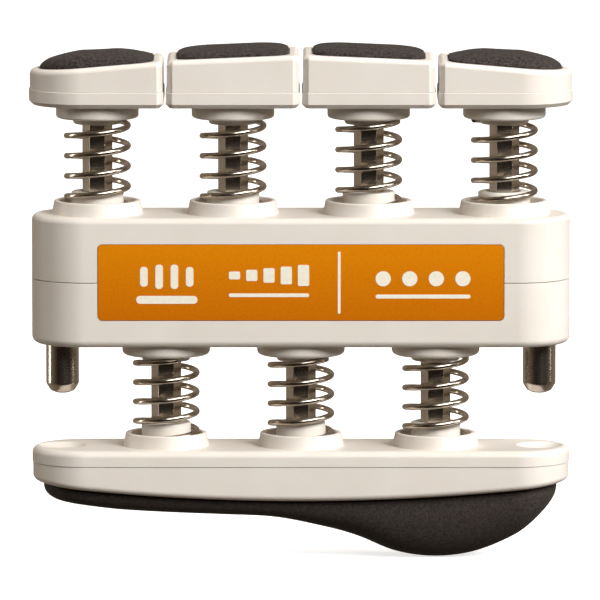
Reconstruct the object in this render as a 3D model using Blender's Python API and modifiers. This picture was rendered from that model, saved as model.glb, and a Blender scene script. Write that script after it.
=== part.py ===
"""Finger exerciser: four spring-loaded finger caps over a palm bar that is sprung as well.

Frame: X runs along the row of fingers, -Y is the labelled front, +Z points from palm to fingertips.
The origin is under the middle of the plan, level with the lowest point of the palm pad.
The housing stays still. Each finger cap slides down on its own hexagonal shaft, and the palm bar
slides up on three shafts of its own, all of them against compression springs.
"""
import math

import bmesh
import bpy
from mathutils import Matrix

MM = 0.001
WELD = 0.001 * MM

# Clearances and walls
GAP = 0.3 * MM
SEAM = 0.2 * MM
WALL = 1.8 * MM
EMBED = 0.8 * MM
REACH_OUT = 3.0 * MM

# Plan
LENGTH = 81.4 * MM
DEPTH = 16.0 * MM
FINGER_PITCH = 20.5 * MM
PALM_PITCH = 20.4 * MM
FINGER_COUNT = 4
PALM_SHAFT_COUNT = 3
PIN_X = 36.1 * MM
ROUND_FACETS = 6
SMALL_FACETS = 3
TURN_FACETS = 20
ROD_FACETS = 12
PIN_FACETS = 16
HOLE_FACETS = 10
RIM_FACETS = 2
WIRE_FACETS = 2
HEXAGON_SIDES = 6
SMOOTH_BELOW = math.radians(35.0)
ROUND_ABOVE = math.radians(40.0)
FLAT_BELOW = 0.002

# Heights of the stack
BAR_TOP = 16.9 * MM
HOUSING_BOTTOM = 32.65 * MM
PARTING = 42.5 * MM
HOUSING_TOP = 52.3 * MM
CAP_BOTTOM = 68.9 * MM

# Palm bar
BAR_PLATE = 2.4 * MM
BAR_EDGE = 1.0 * MM
BAR_DRAFT = 0.1 * MM
BAR_CROWN_DROP = 7.65 * MM
BAR_CROWN_RADIUS = 335.0 * MM
BAR_CROWN_FACETS = 10
BAR_FLOOR = 1.6 * MM
BAR_LOWER_EDGE = 1.1 * MM
DISH_RADIUS = 3.5 * MM
DISH_DEPTH = 1.1 * MM

# Housing
HOUSING_TOP_EDGE = 0.9 * MM
HOUSING_BOTTOM_EDGE = 1.1 * MM
TONGUE_LENGTH = 58.0 * MM
TONGUE_THICKNESS = 0.9 * MM
TONGUE_RISE = 1.3 * MM
TONGUE_FOOT = 2.2 * MM
LABEL_LENGTH = 61.2 * MM
LABEL_HEIGHT = 11.5 * MM
LABEL_LIFT = 0.1 * MM
LABEL_THICKNESS = 0.4 * MM
LABEL_SINK = 0.05 * MM
LABEL_CORNER = 0.7 * MM

# Spring seats: raised ring with a groove round a hub
SEAT_HEIGHT = 2.0 * MM
SEAT_TAPER = 0.4 * MM
FINGER_SEAT_RADIUS = 6.93 * MM
FINGER_GROOVE_RADIUS = 5.8 * MM
FINGER_HUB_RADIUS = 3.95 * MM
FINGER_HUB_HEIGHT = 3.35 * MM
PALM_SEAT_RADIUS = 6.53 * MM
PALM_GROOVE_RADIUS = 5.4 * MM
PALM_HUB_RADIUS = 3.75 * MM
PALM_HUB_HEIGHT = 3.6 * MM

# Collars that the far ends of the springs push on
COLLAR_HEIGHT = 1.85 * MM
PALM_COLLAR_RADIUS = 6.65 * MM
PALM_COLLAR_EDGE = 0.7 * MM
FINGER_COLLAR_RADIUS = 6.25 * MM
FINGER_COLLAR_HEIGHT = 2.1 * MM
FINGER_COLLAR_EDGE = 0.5 * MM
BOSS_RADIUS = 3.85 * MM
BOSS_HEIGHT = 0.9 * MM

# Shafts, their guides, screws and clips
SHAFT_ACROSS_FLATS = 3.97 * MM
SHAFT_BORE = 2.6 * MM
GUIDE_RADIUS = 3.4 * MM
FINGER_GUIDE_LENGTH = 5.6 * MM
PALM_GUIDE_LENGTH = 5.35 * MM
SHAFT_TAIL = 2.2 * MM
GROOVE_HEIGHT = 1.0 * MM
GROOVE_CORE = 1.5 * MM
CLIP_RADIUS = 2.9 * MM
CLIP_THICKNESS = 0.4 * MM
CLIP_MOUTH = 70.0
CLIP_FACETS = 8
SCREW_RADIUS = 0.9 * MM
SCREW_LENGTH = 5.0 * MM
SCREW_HEAD_RADIUS = 2.2 * MM
SCREW_HEAD_HEIGHT = 1.2 * MM
SCREW_SLOT = 0.6 * MM
SCREW_FACETS = 12
SOCKET_WEB = 1.2 * MM
BAR_BOSS_DROP = 1.4 * MM

# Guide pins at the ends of the housing
PIN_RADIUS = 2.5 * MM
PIN_REACH = 7.7 * MM
PIN_NOSE = 1.45 * MM
PIN_TIP_RADIUS = 1.0 * MM
PIN_DIMPLE_RADIUS = 0.5 * MM
PIN_DIMPLE_DEPTH = 0.7 * MM
PIN_SHOULDER_RISE = 1.0 * MM
PIN_SHANK_RADIUS = 1.2 * MM
PIN_SHANK_LENGTH = 14.0 * MM
PIN_SEAT_RADIUS = 3.2 * MM
PIN_SEAT_RISE = 1.05 * MM
PIN_BOSS_RADIUS = 2.3 * MM
NOSE_FACETS = 4

# Springs
WIRE = 0.8 * MM
COIL_RADIUS = 4.7 * MM
FINGER_PITCH_OF_COIL = 3.07 * MM
PALM_PITCH_OF_COIL = 2.95 * MM
POINTS_PER_TURN = 10
FINGER_COIL_STARTS = (-64.0, -63.0, -174.0, 15.0)
PALM_COIL_STARTS = (147.0, -178.0, -113.0)

# Finger caps
PLATE_HEIGHT = 2.4 * MM
PLATE_EDGE = 0.6 * MM
PLATE_REACH = 10.1 * MM
END_REACH = 10.35 * MM
CAP_INSET = 0.1 * MM
CAP_CORNER = 0.95 * MM
CAP_EDGE = 0.6 * MM
CAP_WALL = 1.6 * MM
END_CAP_RISE = 6.2 * MM
END_CAP_SLOPE = 0.085
MIDDLE_CAP_RISE = 7.6 * MM
MIDDLE_CAP_SLOPE = 0.042

# Pads
PAD_SINK = 0.5 * MM
FINGER_PAD_MARGIN = 1.7 * MM
FINGER_PAD_CORNER = 2.2 * MM
FINGER_PAD_ROUND = 0.2 * MM
END_PAD_RISE = 2.1 * MM
END_PAD_DOME = 30.0 * MM
END_PAD_LEVELLING = 0.045
MIDDLE_PAD_RISE = 1.5 * MM
MIDDLE_PAD_DOME = 50.0 * MM
PAD_DOME_REACH = 12.0 * MM
PAD_DOME_FACETS = 4
PALM_PAD_DEPTH = 12.6 * MM
PALM_PAD_ROUND = 1.0 * MM
PALM_PAD_CURVE = 3
# Underside of the palm pad, (x, z): a thin layer that swells into a bulb under the little finger side
PALM_PAD_UNDERSIDE = (
    (-39.0 * MM, 10.9 * MM),
    (-38.2 * MM, 9.6 * MM),
    (-35.5 * MM, 8.6 * MM),
    (-28.0 * MM, 7.5 * MM),
    (-12.0 * MM, 6.75 * MM),
    (-4.0 * MM, 6.35 * MM),
    (2.6 * MM, 4.9 * MM),
    (8.5 * MM, 3.2 * MM),
    (14.2 * MM, 0.85 * MM),
    (20.0 * MM, 0.0 * MM),
    (26.0 * MM, 0.65 * MM),
    (31.6 * MM, 2.9 * MM),
    (36.0 * MM, 6.2 * MM),
    (38.35 * MM, 9.2 * MM),
    (38.8 * MM, 11.0 * MM),
)

# Colour, roughness and metallic value of each material
IVORY = ((0.80, 0.75, 0.67, 1.0), 0.42, 0.0)
ORANGE = ((0.72, 0.24, 0.01, 1.0), 0.35, 0.0)
DARK_FOAM = ((0.055, 0.045, 0.042, 1.0), 0.85, 0.0)
NICKEL = ((0.62, 0.58, 0.52, 1.0), 0.22, 1.0)
SPRING_STEEL = ((0.66, 0.61, 0.54, 1.0), 0.25, 1.0)
ZINC = ((0.55, 0.55, 0.56, 1.0), 0.40, 1.0)


# ---------------------------------------------------------------- tools

def start_scene():
    """Empty the scene and make the collections for the parts and for their cutters."""
    for item in list(bpy.data.objects):
        bpy.data.objects.remove(item, do_unlink=True)
    return bpy.data.collections.new("finger_exerciser"), bpy.data.collections.new("cutters")


def show_groups():
    """Bring both collections into the scene, once every part and cutter is in place."""
    for group in (PARTS, CUTTERS):
        bpy.context.scene.collection.children.link(group)


def make_material(name, recipe):
    """Principled material from a colour, a roughness and a metallic value."""
    colour, roughness, metallic = recipe
    material = bpy.data.materials.new(name)
    material.use_nodes = True
    shader = material.node_tree.nodes["Principled BSDF"]
    shader.inputs["Base Color"].default_value = colour
    shader.inputs["Roughness"].default_value = roughness
    shader.inputs["Metallic"].default_value = metallic
    material.diffuse_color = colour
    return material


def add_axis(name, x):
    """Empty on a sliding axis; the pieces that slide together are its children."""
    axis = bpy.data.objects.new(name, None)
    axis.location = (x, 0.0, 0.0)
    PARTS.objects.link(axis)
    return axis


def add_object(name, mesh, group, parent=None, location=(0.0, 0.0, 0.0)):
    """Object for a mesh, placed under its parent."""
    item = bpy.data.objects.new(name, mesh)
    item.location = location
    item.parent = parent
    group.objects.link(item)
    if group == CUTTERS:
        item.hide_render = True
        item.display_type = "WIRE"
    return item


def finish(item, name, recipe):
    """Give a part its own material and smooth shading on its round faces."""
    item.data.materials.append(make_material(name, recipe))
    item.data.shade_smooth()
    item.data.set_sharp_from_angle(angle=SMOOTH_BELOW)


def plan(left, right, depth, left_round, right_round, left_facets=ROUND_FACETS, right_facets=ROUND_FACETS):
    """Closed outline with rounded corners at each end; a corner of one facet is a chamfer."""
    half = depth / 2
    corners = (
        (right - right_round, right_round - half, right_round, -90.0, right_facets),
        (right - right_round, half - right_round, right_round, 0.0, right_facets),
        (left + left_round, half - left_round, left_round, 90.0, left_facets),
        (left + left_round, left_round - half, left_round, 180.0, left_facets),
    )
    points = []
    for x, y, radius, start, facets in corners:
        for step in range(facets + 1):
            angle = math.radians(start + 90.0 * step / facets)
            point = (x + radius * math.cos(angle), y + radius * math.sin(angle))
            if not points or math.dist(point, points[-1]) > WELD:
                points.append(point)
    if math.dist(points[0], points[-1]) < WELD:
        points.pop()
    return points


def stadium(length, depth):
    """Outline with two straight sides and half-round ends."""
    return plan(-length / 2, length / 2, depth, depth / 2, depth / 2)


def mesh_from_curve(name, curve, rotation=(0.0, 0.0, 0.0)):
    """Welded closed mesh of a curve, with flat areas as single faces."""
    guide = bpy.data.objects.new(name + "_guide", curve)
    bpy.context.scene.collection.objects.link(guide)
    evaluated = guide.evaluated_get(bpy.context.evaluated_depsgraph_get())
    mesh = bpy.data.meshes.new_from_object(evaluated)
    bpy.data.objects.remove(guide, do_unlink=True)
    shape = bmesh.new()
    shape.from_mesh(mesh)
    bmesh.ops.remove_doubles(shape, verts=shape.verts, dist=WELD)
    bmesh.ops.dissolve_limit(shape, angle_limit=FLAT_BELOW, verts=shape.verts, edges=shape.edges)
    bmesh.ops.rotate(shape, verts=shape.verts, matrix=turn_about_x(rotation[0]))
    bmesh.ops.recalc_face_normals(shape, faces=shape.faces)
    shape.to_mesh(mesh)
    shape.free()
    mesh.name = name
    return mesh


def turn_about_x(angle):
    """Rotation matrix about X."""
    return Matrix.Rotation(angle, 3, "X")


def outline_curve(name, outline, thickness):
    """2D curve of straight segments, filled and extruded to a thickness."""
    curve = bpy.data.curves.new(name, "CURVE")
    curve.dimensions = "2D"
    curve.fill_mode = "BOTH"
    curve.extrude = thickness / 2
    spline = curve.splines.new("POLY")
    spline.points.add(len(outline) - 1)
    for point, (x, y) in zip(spline.points, outline):
        point.co = (x, y, 0.0, 1.0)
    spline.use_cyclic_u = True
    return curve


def prism(name, outline, low, high, group, parent=None, x=0.0):
    """Outline in plan, extruded between two heights."""
    mesh = mesh_from_curve(name, outline_curve(name, outline, high - low))
    return add_object(name, mesh, group, parent, (x, 0.0, (low + high) / 2))


def upright(name, outline, front, back, group, parent=None):
    """Outline in the XZ plane, extruded between two depths."""
    curve = outline_curve(name, outline, back - front)
    mesh = mesh_from_curve(name, curve, (math.pi / 2, 0.0, 0.0))
    return add_object(name, mesh, group, parent, (0.0, (front + back) / 2, 0.0))


def box(name, low, high, group, parent=None):
    """Box between two corners."""
    mesh = bpy.data.meshes.new(name)
    shape = bmesh.new()
    bmesh.ops.create_cube(shape, size=1.0)
    sizes = [b - a for a, b in zip(low, high)]
    bmesh.ops.scale(shape, verts=shape.verts, vec=sizes)
    shape.to_mesh(mesh)
    shape.free()
    middle = [(a + b) / 2 for a, b in zip(low, high)]
    return add_object(name, mesh, group, parent, middle)


def turned(name, profile, group, parent=None, x=0.0, closed=False, facets=TURN_FACETS):
    """Solid of revolution about a vertical axis; (radius, z) points run down its outer side."""
    edges = [(index, index + 1) for index in range(len(profile) - 1)]
    if closed:
        edges.append((len(profile) - 1, 0))
    mesh = bpy.data.meshes.new(name)
    mesh.from_pydata([(radius, 0.0, z) for radius, z in profile], edges, [])
    item = add_object(name, mesh, group, parent, (x, 0.0, 0.0))
    screw = item.modifiers.new("Turn", "SCREW")
    screw.steps = facets
    screw.render_steps = facets
    screw.use_merge_vertices = True
    screw.merge_threshold = WELD
    return item


def rod(name, radius, low, high, group, parent=None, x=0.0, facets=ROD_FACETS):
    """Cylinder between two heights."""
    mesh = bpy.data.meshes.new(name)
    shape = bmesh.new()
    bmesh.ops.create_cone(
        shape, cap_ends=True, segments=facets, radius1=radius, radius2=radius, depth=high - low
    )
    shape.to_mesh(mesh)
    shape.free()
    return add_object(name, mesh, group, parent, (x, 0.0, (low + high) / 2))


def hexagon(name, across_flats, low, high, group, parent=None, x=0.0):
    """Hexagonal bar between two heights, with a flat towards the front."""
    bar = rod(name, across_flats / math.sqrt(3.0), low, high, group, parent, x, facets=HEXAGON_SIDES)
    bar.rotation_euler.z = math.pi / HEXAGON_SIDES
    return bar


def combine(target, operation, tools):
    """One Boolean step with one tool, or with a collection of them."""
    step = target.modifiers.new(operation.title(), "BOOLEAN")
    step.operation = operation
    step.solver = "EXACT"
    if len(tools) == 1:
        step.object = tools[0]
        return
    group = bpy.data.collections.new(f"{target.name}_{operation.lower()}")
    CUTTERS.children.link(group)
    for tool in tools:
        CUTTERS.objects.unlink(tool)
        group.objects.link(tool)
    step.operand_type = "COLLECTION"
    step.collection = group


def join(target, *tools):
    """Union of a part with the shapes moulded onto it."""
    combine(target, "UNION", tools)


def cut(target, *tools):
    """Difference of a part and its cutters."""
    combine(target, "DIFFERENCE", tools)


def keep_within(target, *tools):
    """What a part and its limits have in common."""
    combine(target, "INTERSECT", tools)


def round_rim(item, side, width, facets=RIM_FACETS):
    """Round the top (side 1) or bottom (side -1) rim of a prism."""
    mesh = item.data
    weights = mesh.attributes.new("bevel_weight_edge", "FLOAT", "EDGE")
    for edge in mesh.edges:
        if all(mesh.vertices[index].co.z * side > 0.0 for index in edge.vertices):
            weights.data[edge.index].value = 1.0
    bevel = item.modifiers.new("Round", "BEVEL")
    bevel.limit_method = "WEIGHT"
    bevel.width = width
    bevel.segments = facets


def round_sharp(item, width, facets):
    """Round every edge of a part that is sharper than a facet of its curves."""
    bevel = item.modifiers.new("Round", "BEVEL")
    bevel.limit_method = "ANGLE"
    bevel.angle_limit = ROUND_ABOVE
    bevel.width = width
    bevel.segments = facets


def slope(item, side, gradient):
    """Tilt the top (side 1) or bottom (side -1) of a prism along X."""
    for vertex in item.data.vertices:
        if vertex.co.z * side > 0.0:
            vertex.co.z += gradient * vertex.co.x


# ---------------------------------------------------------------- positions

def finger_positions():
    """X of the four finger shafts."""
    middle = (FINGER_COUNT - 1) / 2
    return [(index - middle) * FINGER_PITCH for index in range(FINGER_COUNT)]


def palm_positions():
    """X of the three palm shafts, about halfway between the finger shafts."""
    middle = (PALM_SHAFT_COUNT - 1) / 2
    return [(index - middle) * PALM_PITCH for index in range(PALM_SHAFT_COUNT)]


def crown(x):
    """Height of the palm bar's curved underside."""
    rise = BAR_CROWN_RADIUS - math.sqrt(BAR_CROWN_RADIUS ** 2 - x ** 2)
    return BAR_TOP - BAR_CROWN_DROP + rise


def crown_outline(lift):
    """XZ outline of everything above the curved underside, raised by a lift."""
    reach = LENGTH / 2 + REACH_OUT
    points = []
    for step in range(BAR_CROWN_FACETS + 1):
        x = -reach + 2 * reach * step / BAR_CROWN_FACETS
        points.append((x, crown(x) + lift))
    top = BAR_TOP + DEPTH
    return points + [(reach, top), (-reach, top)]


# ---------------------------------------------------------------- repeated pieces

def ring_profile(base, radius, groove_radius):
    """Profile of a spring seat's raised ring, set into a moulded face."""
    return (
        (radius - SEAT_TAPER, base + SEAT_HEIGHT),
        (radius, base),
        (radius, base - EMBED),
        (groove_radius, base - EMBED),
        (groove_radius, base + SEAT_HEIGHT),
    )


def hub_profile(radius, top, step, end):
    """Profile of a spring seat's hub, which narrows to a guide tube below a step."""
    return (
        (0.0, top),
        (radius - GAP, top),
        (radius, top - GAP),
        (radius, step + GAP),
        (GUIDE_RADIUS, step + GAP),
        (GUIDE_RADIUS, end),
        (0.0, end),
    )


def collar_profile(face, radius, height, edge, embed=EMBED):
    """Profile of a collar and its spring-centring boss, hanging under a moulded face."""
    points = [(0.0, face + embed), (radius, face + embed)]
    low = face - height
    for step in range(SMALL_FACETS + 1):
        angle = math.pi / 2 * step / SMALL_FACETS
        points.append((radius - edge + edge * math.cos(angle), low + edge - edge * math.sin(angle)))
    points.append((BOSS_RADIUS, low))
    points.append((BOSS_RADIUS - GAP, low - BOSS_HEIGHT))
    points.append((0.0, low - BOSS_HEIGHT))
    return points


def make_spring(name, low, high, coil_pitch, start, x):
    """Open-ended compression spring, wound right-handed between two seats."""
    bottom = low + WIRE / 2 + WELD
    top = high - WIRE / 2 - WELD
    turns = (top - bottom) / coil_pitch
    count = round(turns * POINTS_PER_TURN)
    curve = bpy.data.curves.new(name, "CURVE")
    curve.dimensions = "3D"
    curve.bevel_depth = WIRE / 2
    curve.bevel_resolution = WIRE_FACETS
    curve.use_fill_caps = True
    spline = curve.splines.new("POLY")
    spline.points.add(count)
    for step in range(count + 1):
        share = step / count
        angle = math.radians(start) + 2 * math.pi * turns * share
        z = bottom + (top - bottom) * share
        place = (COIL_RADIUS * math.cos(angle), COIL_RADIUS * math.sin(angle), z, 1.0)
        spline.points[step].co = place
    item = bpy.data.objects.new(name, curve)
    item.location = (x, 0.0, 0.0)
    PARTS.objects.link(item)
    curve.materials.append(make_material("spring_wire_" + name, SPRING_STEEL))
    return item


def make_shaft(name, low, high, groove_low, bore_low, bore_high, parent, x):
    """Hexagonal shaft with a clip groove at its free end and a screw hole at its fixed end."""
    shaft = hexagon(name, SHAFT_ACROSS_FLATS, low, high, PARTS, parent, x)
    core = (
        (SHAFT_BORE, groove_low + GROOVE_HEIGHT),
        (SHAFT_BORE, groove_low),
        (GROOVE_CORE, groove_low),
        (GROOVE_CORE, groove_low + GROOVE_HEIGHT),
    )
    groove = turned(name + "_groove", core, CUTTERS, parent, x, closed=True, facets=HOLE_FACETS)
    hole = rod(
        name + "_hole", SCREW_RADIUS + GAP, bore_low, bore_high, CUTTERS, parent, x, facets=HOLE_FACETS
    )
    cut(shaft, groove, hole)
    finish(shaft, "nickel_" + name, NICKEL)
    return shaft


def make_clip(name, low, parent, x):
    """Open retaining clip, sprung into the groove of a shaft."""
    inner = GROOVE_CORE + GAP
    opening = math.radians(CLIP_MOUTH) / 2
    sweep = 2 * math.pi - 2 * opening
    angles = [opening + sweep * step / CLIP_FACETS for step in range(CLIP_FACETS + 1)]
    outline = [(CLIP_RADIUS * math.cos(angle), CLIP_RADIUS * math.sin(angle)) for angle in angles]
    outline += [(inner * math.cos(angle), inner * math.sin(angle)) for angle in reversed(angles)]
    clip = prism(name, outline, low, low + CLIP_THICKNESS, PARTS, parent, x)
    finish(clip, "zinc_" + name, ZINC)


def make_screw(name, seat, direction, parent, x):
    """Pan-head screw; its head sits beyond the seat and its thread runs back into the shaft."""
    head = seat + direction * SCREW_HEAD_HEIGHT
    tip = seat - direction * SCREW_LENGTH
    side = [
        (0.0, head),
        (SCREW_HEAD_RADIUS - GAP, head),
        (SCREW_HEAD_RADIUS, head - direction * GAP),
        (SCREW_HEAD_RADIUS, seat),
        (SCREW_RADIUS, seat),
        (SCREW_RADIUS, tip + direction * GAP),
        (SCREW_RADIUS - GAP, tip),
        (0.0, tip),
    ]
    profile = side if direction > 0 else side[::-1]
    screw = turned(name, profile, PARTS, parent, x, facets=SCREW_FACETS)
    half = SCREW_SLOT / 2
    ends = sorted((head - direction * SCREW_SLOT, head + direction * SCREW_SLOT))
    slot = box(
        name + "_slot",
        (x - SCREW_HEAD_RADIUS - GAP, -half, ends[0]),
        (x + SCREW_HEAD_RADIUS + GAP, half, ends[1]),
        CUTTERS,
        parent,
    )
    cut(screw, slot)
    finish(screw, "zinc_" + name, ZINC)


# ---------------------------------------------------------------- housing

def label_outline(margin):
    """XZ outline of the label, grown by a margin."""
    outline = plan(
        -LABEL_LENGTH / 2 - margin,
        LABEL_LENGTH / 2 + margin,
        LABEL_HEIGHT + 2 * margin,
        LABEL_CORNER + margin,
        LABEL_CORNER + margin,
        SMALL_FACETS,
        SMALL_FACETS,
    )
    return [(x, PARTING + LABEL_LIFT + z) for x, z in outline]


def label_pocket(name):
    """Shallow pocket in the housing's front that the label is set in."""
    floor = -DEPTH / 2 + LABEL_SINK + LABEL_THICKNESS + GAP
    return upright(name, label_outline(SEAM), -DEPTH / 2 - REACH_OUT, floor, CUTTERS)


def make_label():
    """Coloured front label, across both halves of the housing."""
    front = -DEPTH / 2 + LABEL_SINK
    label = upright("label_front", label_outline(0.0), front, front + LABEL_THICKNESS, PARTS)
    finish(label, "orange_label", ORANGE)


def make_housing_upper():
    """Upper half: spring seats outside, guide tubes and pin bosses inside."""
    outline = stadium(LENGTH, DEPTH)
    shell = prism("housing_upper", outline, PARTING + SEAM / 2, HOUSING_TOP, PARTS)
    round_rim(shell, 1, HOUSING_TOP_EDGE)
    ceiling = HOUSING_TOP - WALL
    hollow_plan = stadium(LENGTH - 2 * WALL, DEPTH - 2 * WALL)
    cut(shell, prism("upper_hollow", hollow_plan, PARTING - REACH_OUT, ceiling, CUTTERS))

    guide_end = HOUSING_TOP - FINGER_GUIDE_LENGTH
    hub_top = HOUSING_TOP + FINGER_HUB_HEIGHT
    ring = ring_profile(HOUSING_TOP, FINGER_SEAT_RADIUS, FINGER_GROOVE_RADIUS)
    added = []
    removed = [label_pocket("upper_label_pocket")]
    for number, x in enumerate(finger_positions(), 1):
        added.append(turned(f"upper_ring_{number}", ring, CUTTERS, x=x, closed=True))
        hub = hub_profile(FINGER_HUB_RADIUS, hub_top, HOUSING_TOP - EMBED, guide_end)
        added.append(turned(f"upper_hub_{number}", hub, CUTTERS, x=x))
        bore = rod(f"finger_bore_{number}", SHAFT_BORE, guide_end - GAP, hub_top + GAP, CUTTERS, x=x)
        removed.append(bore)
    boss_end = HOUSING_BOTTOM + WALL + PIN_SEAT_RISE + GAP
    hole_top = HOUSING_BOTTOM + PIN_SHOULDER_RISE + PIN_SHANK_LENGTH + GAP
    hole_radius = PIN_SHANK_RADIUS + GAP
    for side, x in (("left", -PIN_X), ("right", PIN_X)):
        added.append(rod(f"pin_boss_{side}", PIN_BOSS_RADIUS, boss_end, ceiling + EMBED, CUTTERS, x=x))
        removed.append(
            rod(f"pin_hole_{side}", hole_radius, boss_end - GAP, hole_top, CUTTERS, x=x, facets=HOLE_FACETS)
        )
    join(shell, *added)
    cut(shell, *removed)
    finish(shell, "ivory_housing_upper", IVORY)


def make_housing_lower():
    """Lower half: spring collars outside, guide tubes, pin seats and two locating tongues inside."""
    outline = stadium(LENGTH, DEPTH)
    shell = prism("housing_lower", outline, HOUSING_BOTTOM, PARTING - SEAM / 2, PARTS)
    round_rim(shell, -1, HOUSING_BOTTOM_EDGE, SMALL_FACETS)
    floor = HOUSING_BOTTOM + WALL
    hollow_plan = stadium(LENGTH - 2 * WALL, DEPTH - 2 * WALL)
    cut(shell, prism("lower_hollow", hollow_plan, floor, PARTING + REACH_OUT, CUTTERS))

    guide_end = HOUSING_BOTTOM + PALM_GUIDE_LENGTH
    collar_end = HOUSING_BOTTOM - COLLAR_HEIGHT - BOSS_HEIGHT
    collar = collar_profile(HOUSING_BOTTOM, PALM_COLLAR_RADIUS, COLLAR_HEIGHT, PALM_COLLAR_EDGE)
    added = make_tongues()
    removed = [label_pocket("lower_label_pocket")]
    for number, x in enumerate(palm_positions(), 1):
        added.append(turned(f"palm_collar_{number}", collar, CUTTERS, x=x))
        added.append(rod(f"palm_guide_{number}", GUIDE_RADIUS, floor - EMBED, guide_end, CUTTERS, x=x))
        bore = rod(f"palm_bore_{number}", SHAFT_BORE, collar_end - GAP, guide_end + GAP, CUTTERS, x=x)
        removed.append(bore)
    seat_top = floor + PIN_SEAT_RISE
    shoulder = HOUSING_BOTTOM + PIN_SHOULDER_RISE + GAP
    for side, x in (("left", -PIN_X), ("right", PIN_X)):
        added.append(rod(f"pin_seat_{side}", PIN_SEAT_RADIUS, floor - EMBED, seat_top, CUTTERS, x=x))
        hole = (
            (PIN_SHANK_RADIUS + GAP, seat_top + GAP),
            (PIN_SHANK_RADIUS + GAP, shoulder),
            (PIN_RADIUS + GAP, shoulder),
            (PIN_RADIUS + GAP, HOUSING_BOTTOM - GAP),
        )
        closed_hole = ((0.0, hole[0][1]),) + hole + ((0.0, hole[-1][1]),)
        removed.append(turned(f"pin_hole_{side}", closed_hole, CUTTERS, x=x, facets=PIN_FACETS))
    join(shell, *added)
    cut(shell, *removed)
    finish(shell, "ivory_housing_lower", IVORY)


def make_tongues():
    """Ribs along both long walls that stand up into the upper half."""
    half = TONGUE_LENGTH / 2
    outer = DEPTH / 2 - WALL - GAP
    inner = outer - TONGUE_THICKNESS
    low = PARTING - TONGUE_FOOT
    ribs = []
    for side, sign in (("front", -1), ("back", 1)):
        near, far = sorted((sign * inner, sign * outer))
        tongue = box(
            f"tongue_{side}", (-half, near, low + GAP), (half, far, PARTING + TONGUE_RISE), CUTTERS
        )
        near, far = sorted((sign * (inner + GAP), sign * (outer + 2 * GAP)))
        foot = box(
            f"tongue_foot_{side}", (-half - GAP, near, low), (half + GAP, far, PARTING - 2 * SEAM), CUTTERS
        )
        ribs += [tongue, foot]
    return ribs


def make_guide_pins():
    """Steel pins that guide the palm bar's dishes and clamp the two halves of the housing."""
    tip = HOUSING_BOTTOM - PIN_REACH
    shoulder = HOUSING_BOTTOM + PIN_SHOULDER_RISE
    end = shoulder + PIN_SHANK_LENGTH
    profile = [
        (0.0, end),
        (PIN_SHANK_RADIUS - GAP, end),
        (PIN_SHANK_RADIUS, end - GAP),
        (PIN_SHANK_RADIUS, shoulder),
        (PIN_RADIUS, shoulder),
    ]
    for step in range(NOSE_FACETS + 1):
        angle = math.pi / 2 * step / NOSE_FACETS
        radius = PIN_TIP_RADIUS + (PIN_RADIUS - PIN_TIP_RADIUS) * math.cos(angle)
        profile.append((radius, tip + PIN_NOSE - PIN_NOSE * math.sin(angle)))
    profile.append((PIN_DIMPLE_RADIUS, tip))
    profile.append((0.0, tip + PIN_DIMPLE_DEPTH))
    for side, x in (("left", -PIN_X), ("right", PIN_X)):
        pin = turned(f"guide_pin_{side}", profile, PARTS, x=x, facets=PIN_FACETS)
        finish(pin, f"nickel_guide_pin_{side}", NICKEL)


# ---------------------------------------------------------------- fingers

def cap_plan(inset, corner, corner_facets, outward):
    """Plan of a finger cap about its shaft: outward is -1 or 1 on an end cap, 0 on a middle cap."""
    inner = PLATE_REACH - inset
    depth = DEPTH - 2 * inset
    if outward == 0:
        return plan(-inner, inner, depth, corner, corner, corner_facets, corner_facets)
    outer = END_REACH - inset
    if outward < 0:
        return plan(-outer, inner, depth, depth / 2, corner, ROUND_FACETS, corner_facets)
    return plan(-inner, outer, depth, corner, depth / 2, corner_facets, ROUND_FACETS)


def make_dome(name, radius, top, gradient, parent):
    """Domed limit for the top of a finger pad, tilted with its cap."""
    profile = []
    for step in range(PAD_DOME_FACETS + 1):
        reach = PAD_DOME_REACH * step / PAD_DOME_FACETS
        profile.append((reach, math.sqrt(radius ** 2 - reach ** 2) - radius))
    profile.append((PAD_DOME_REACH, -DEPTH / 2))
    profile.append((0.0, -DEPTH / 2))
    dome = turned(name, profile, CUTTERS, parent)
    dome.location.z = top
    dome.rotation_euler.y = -math.atan(gradient)
    return dome


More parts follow.
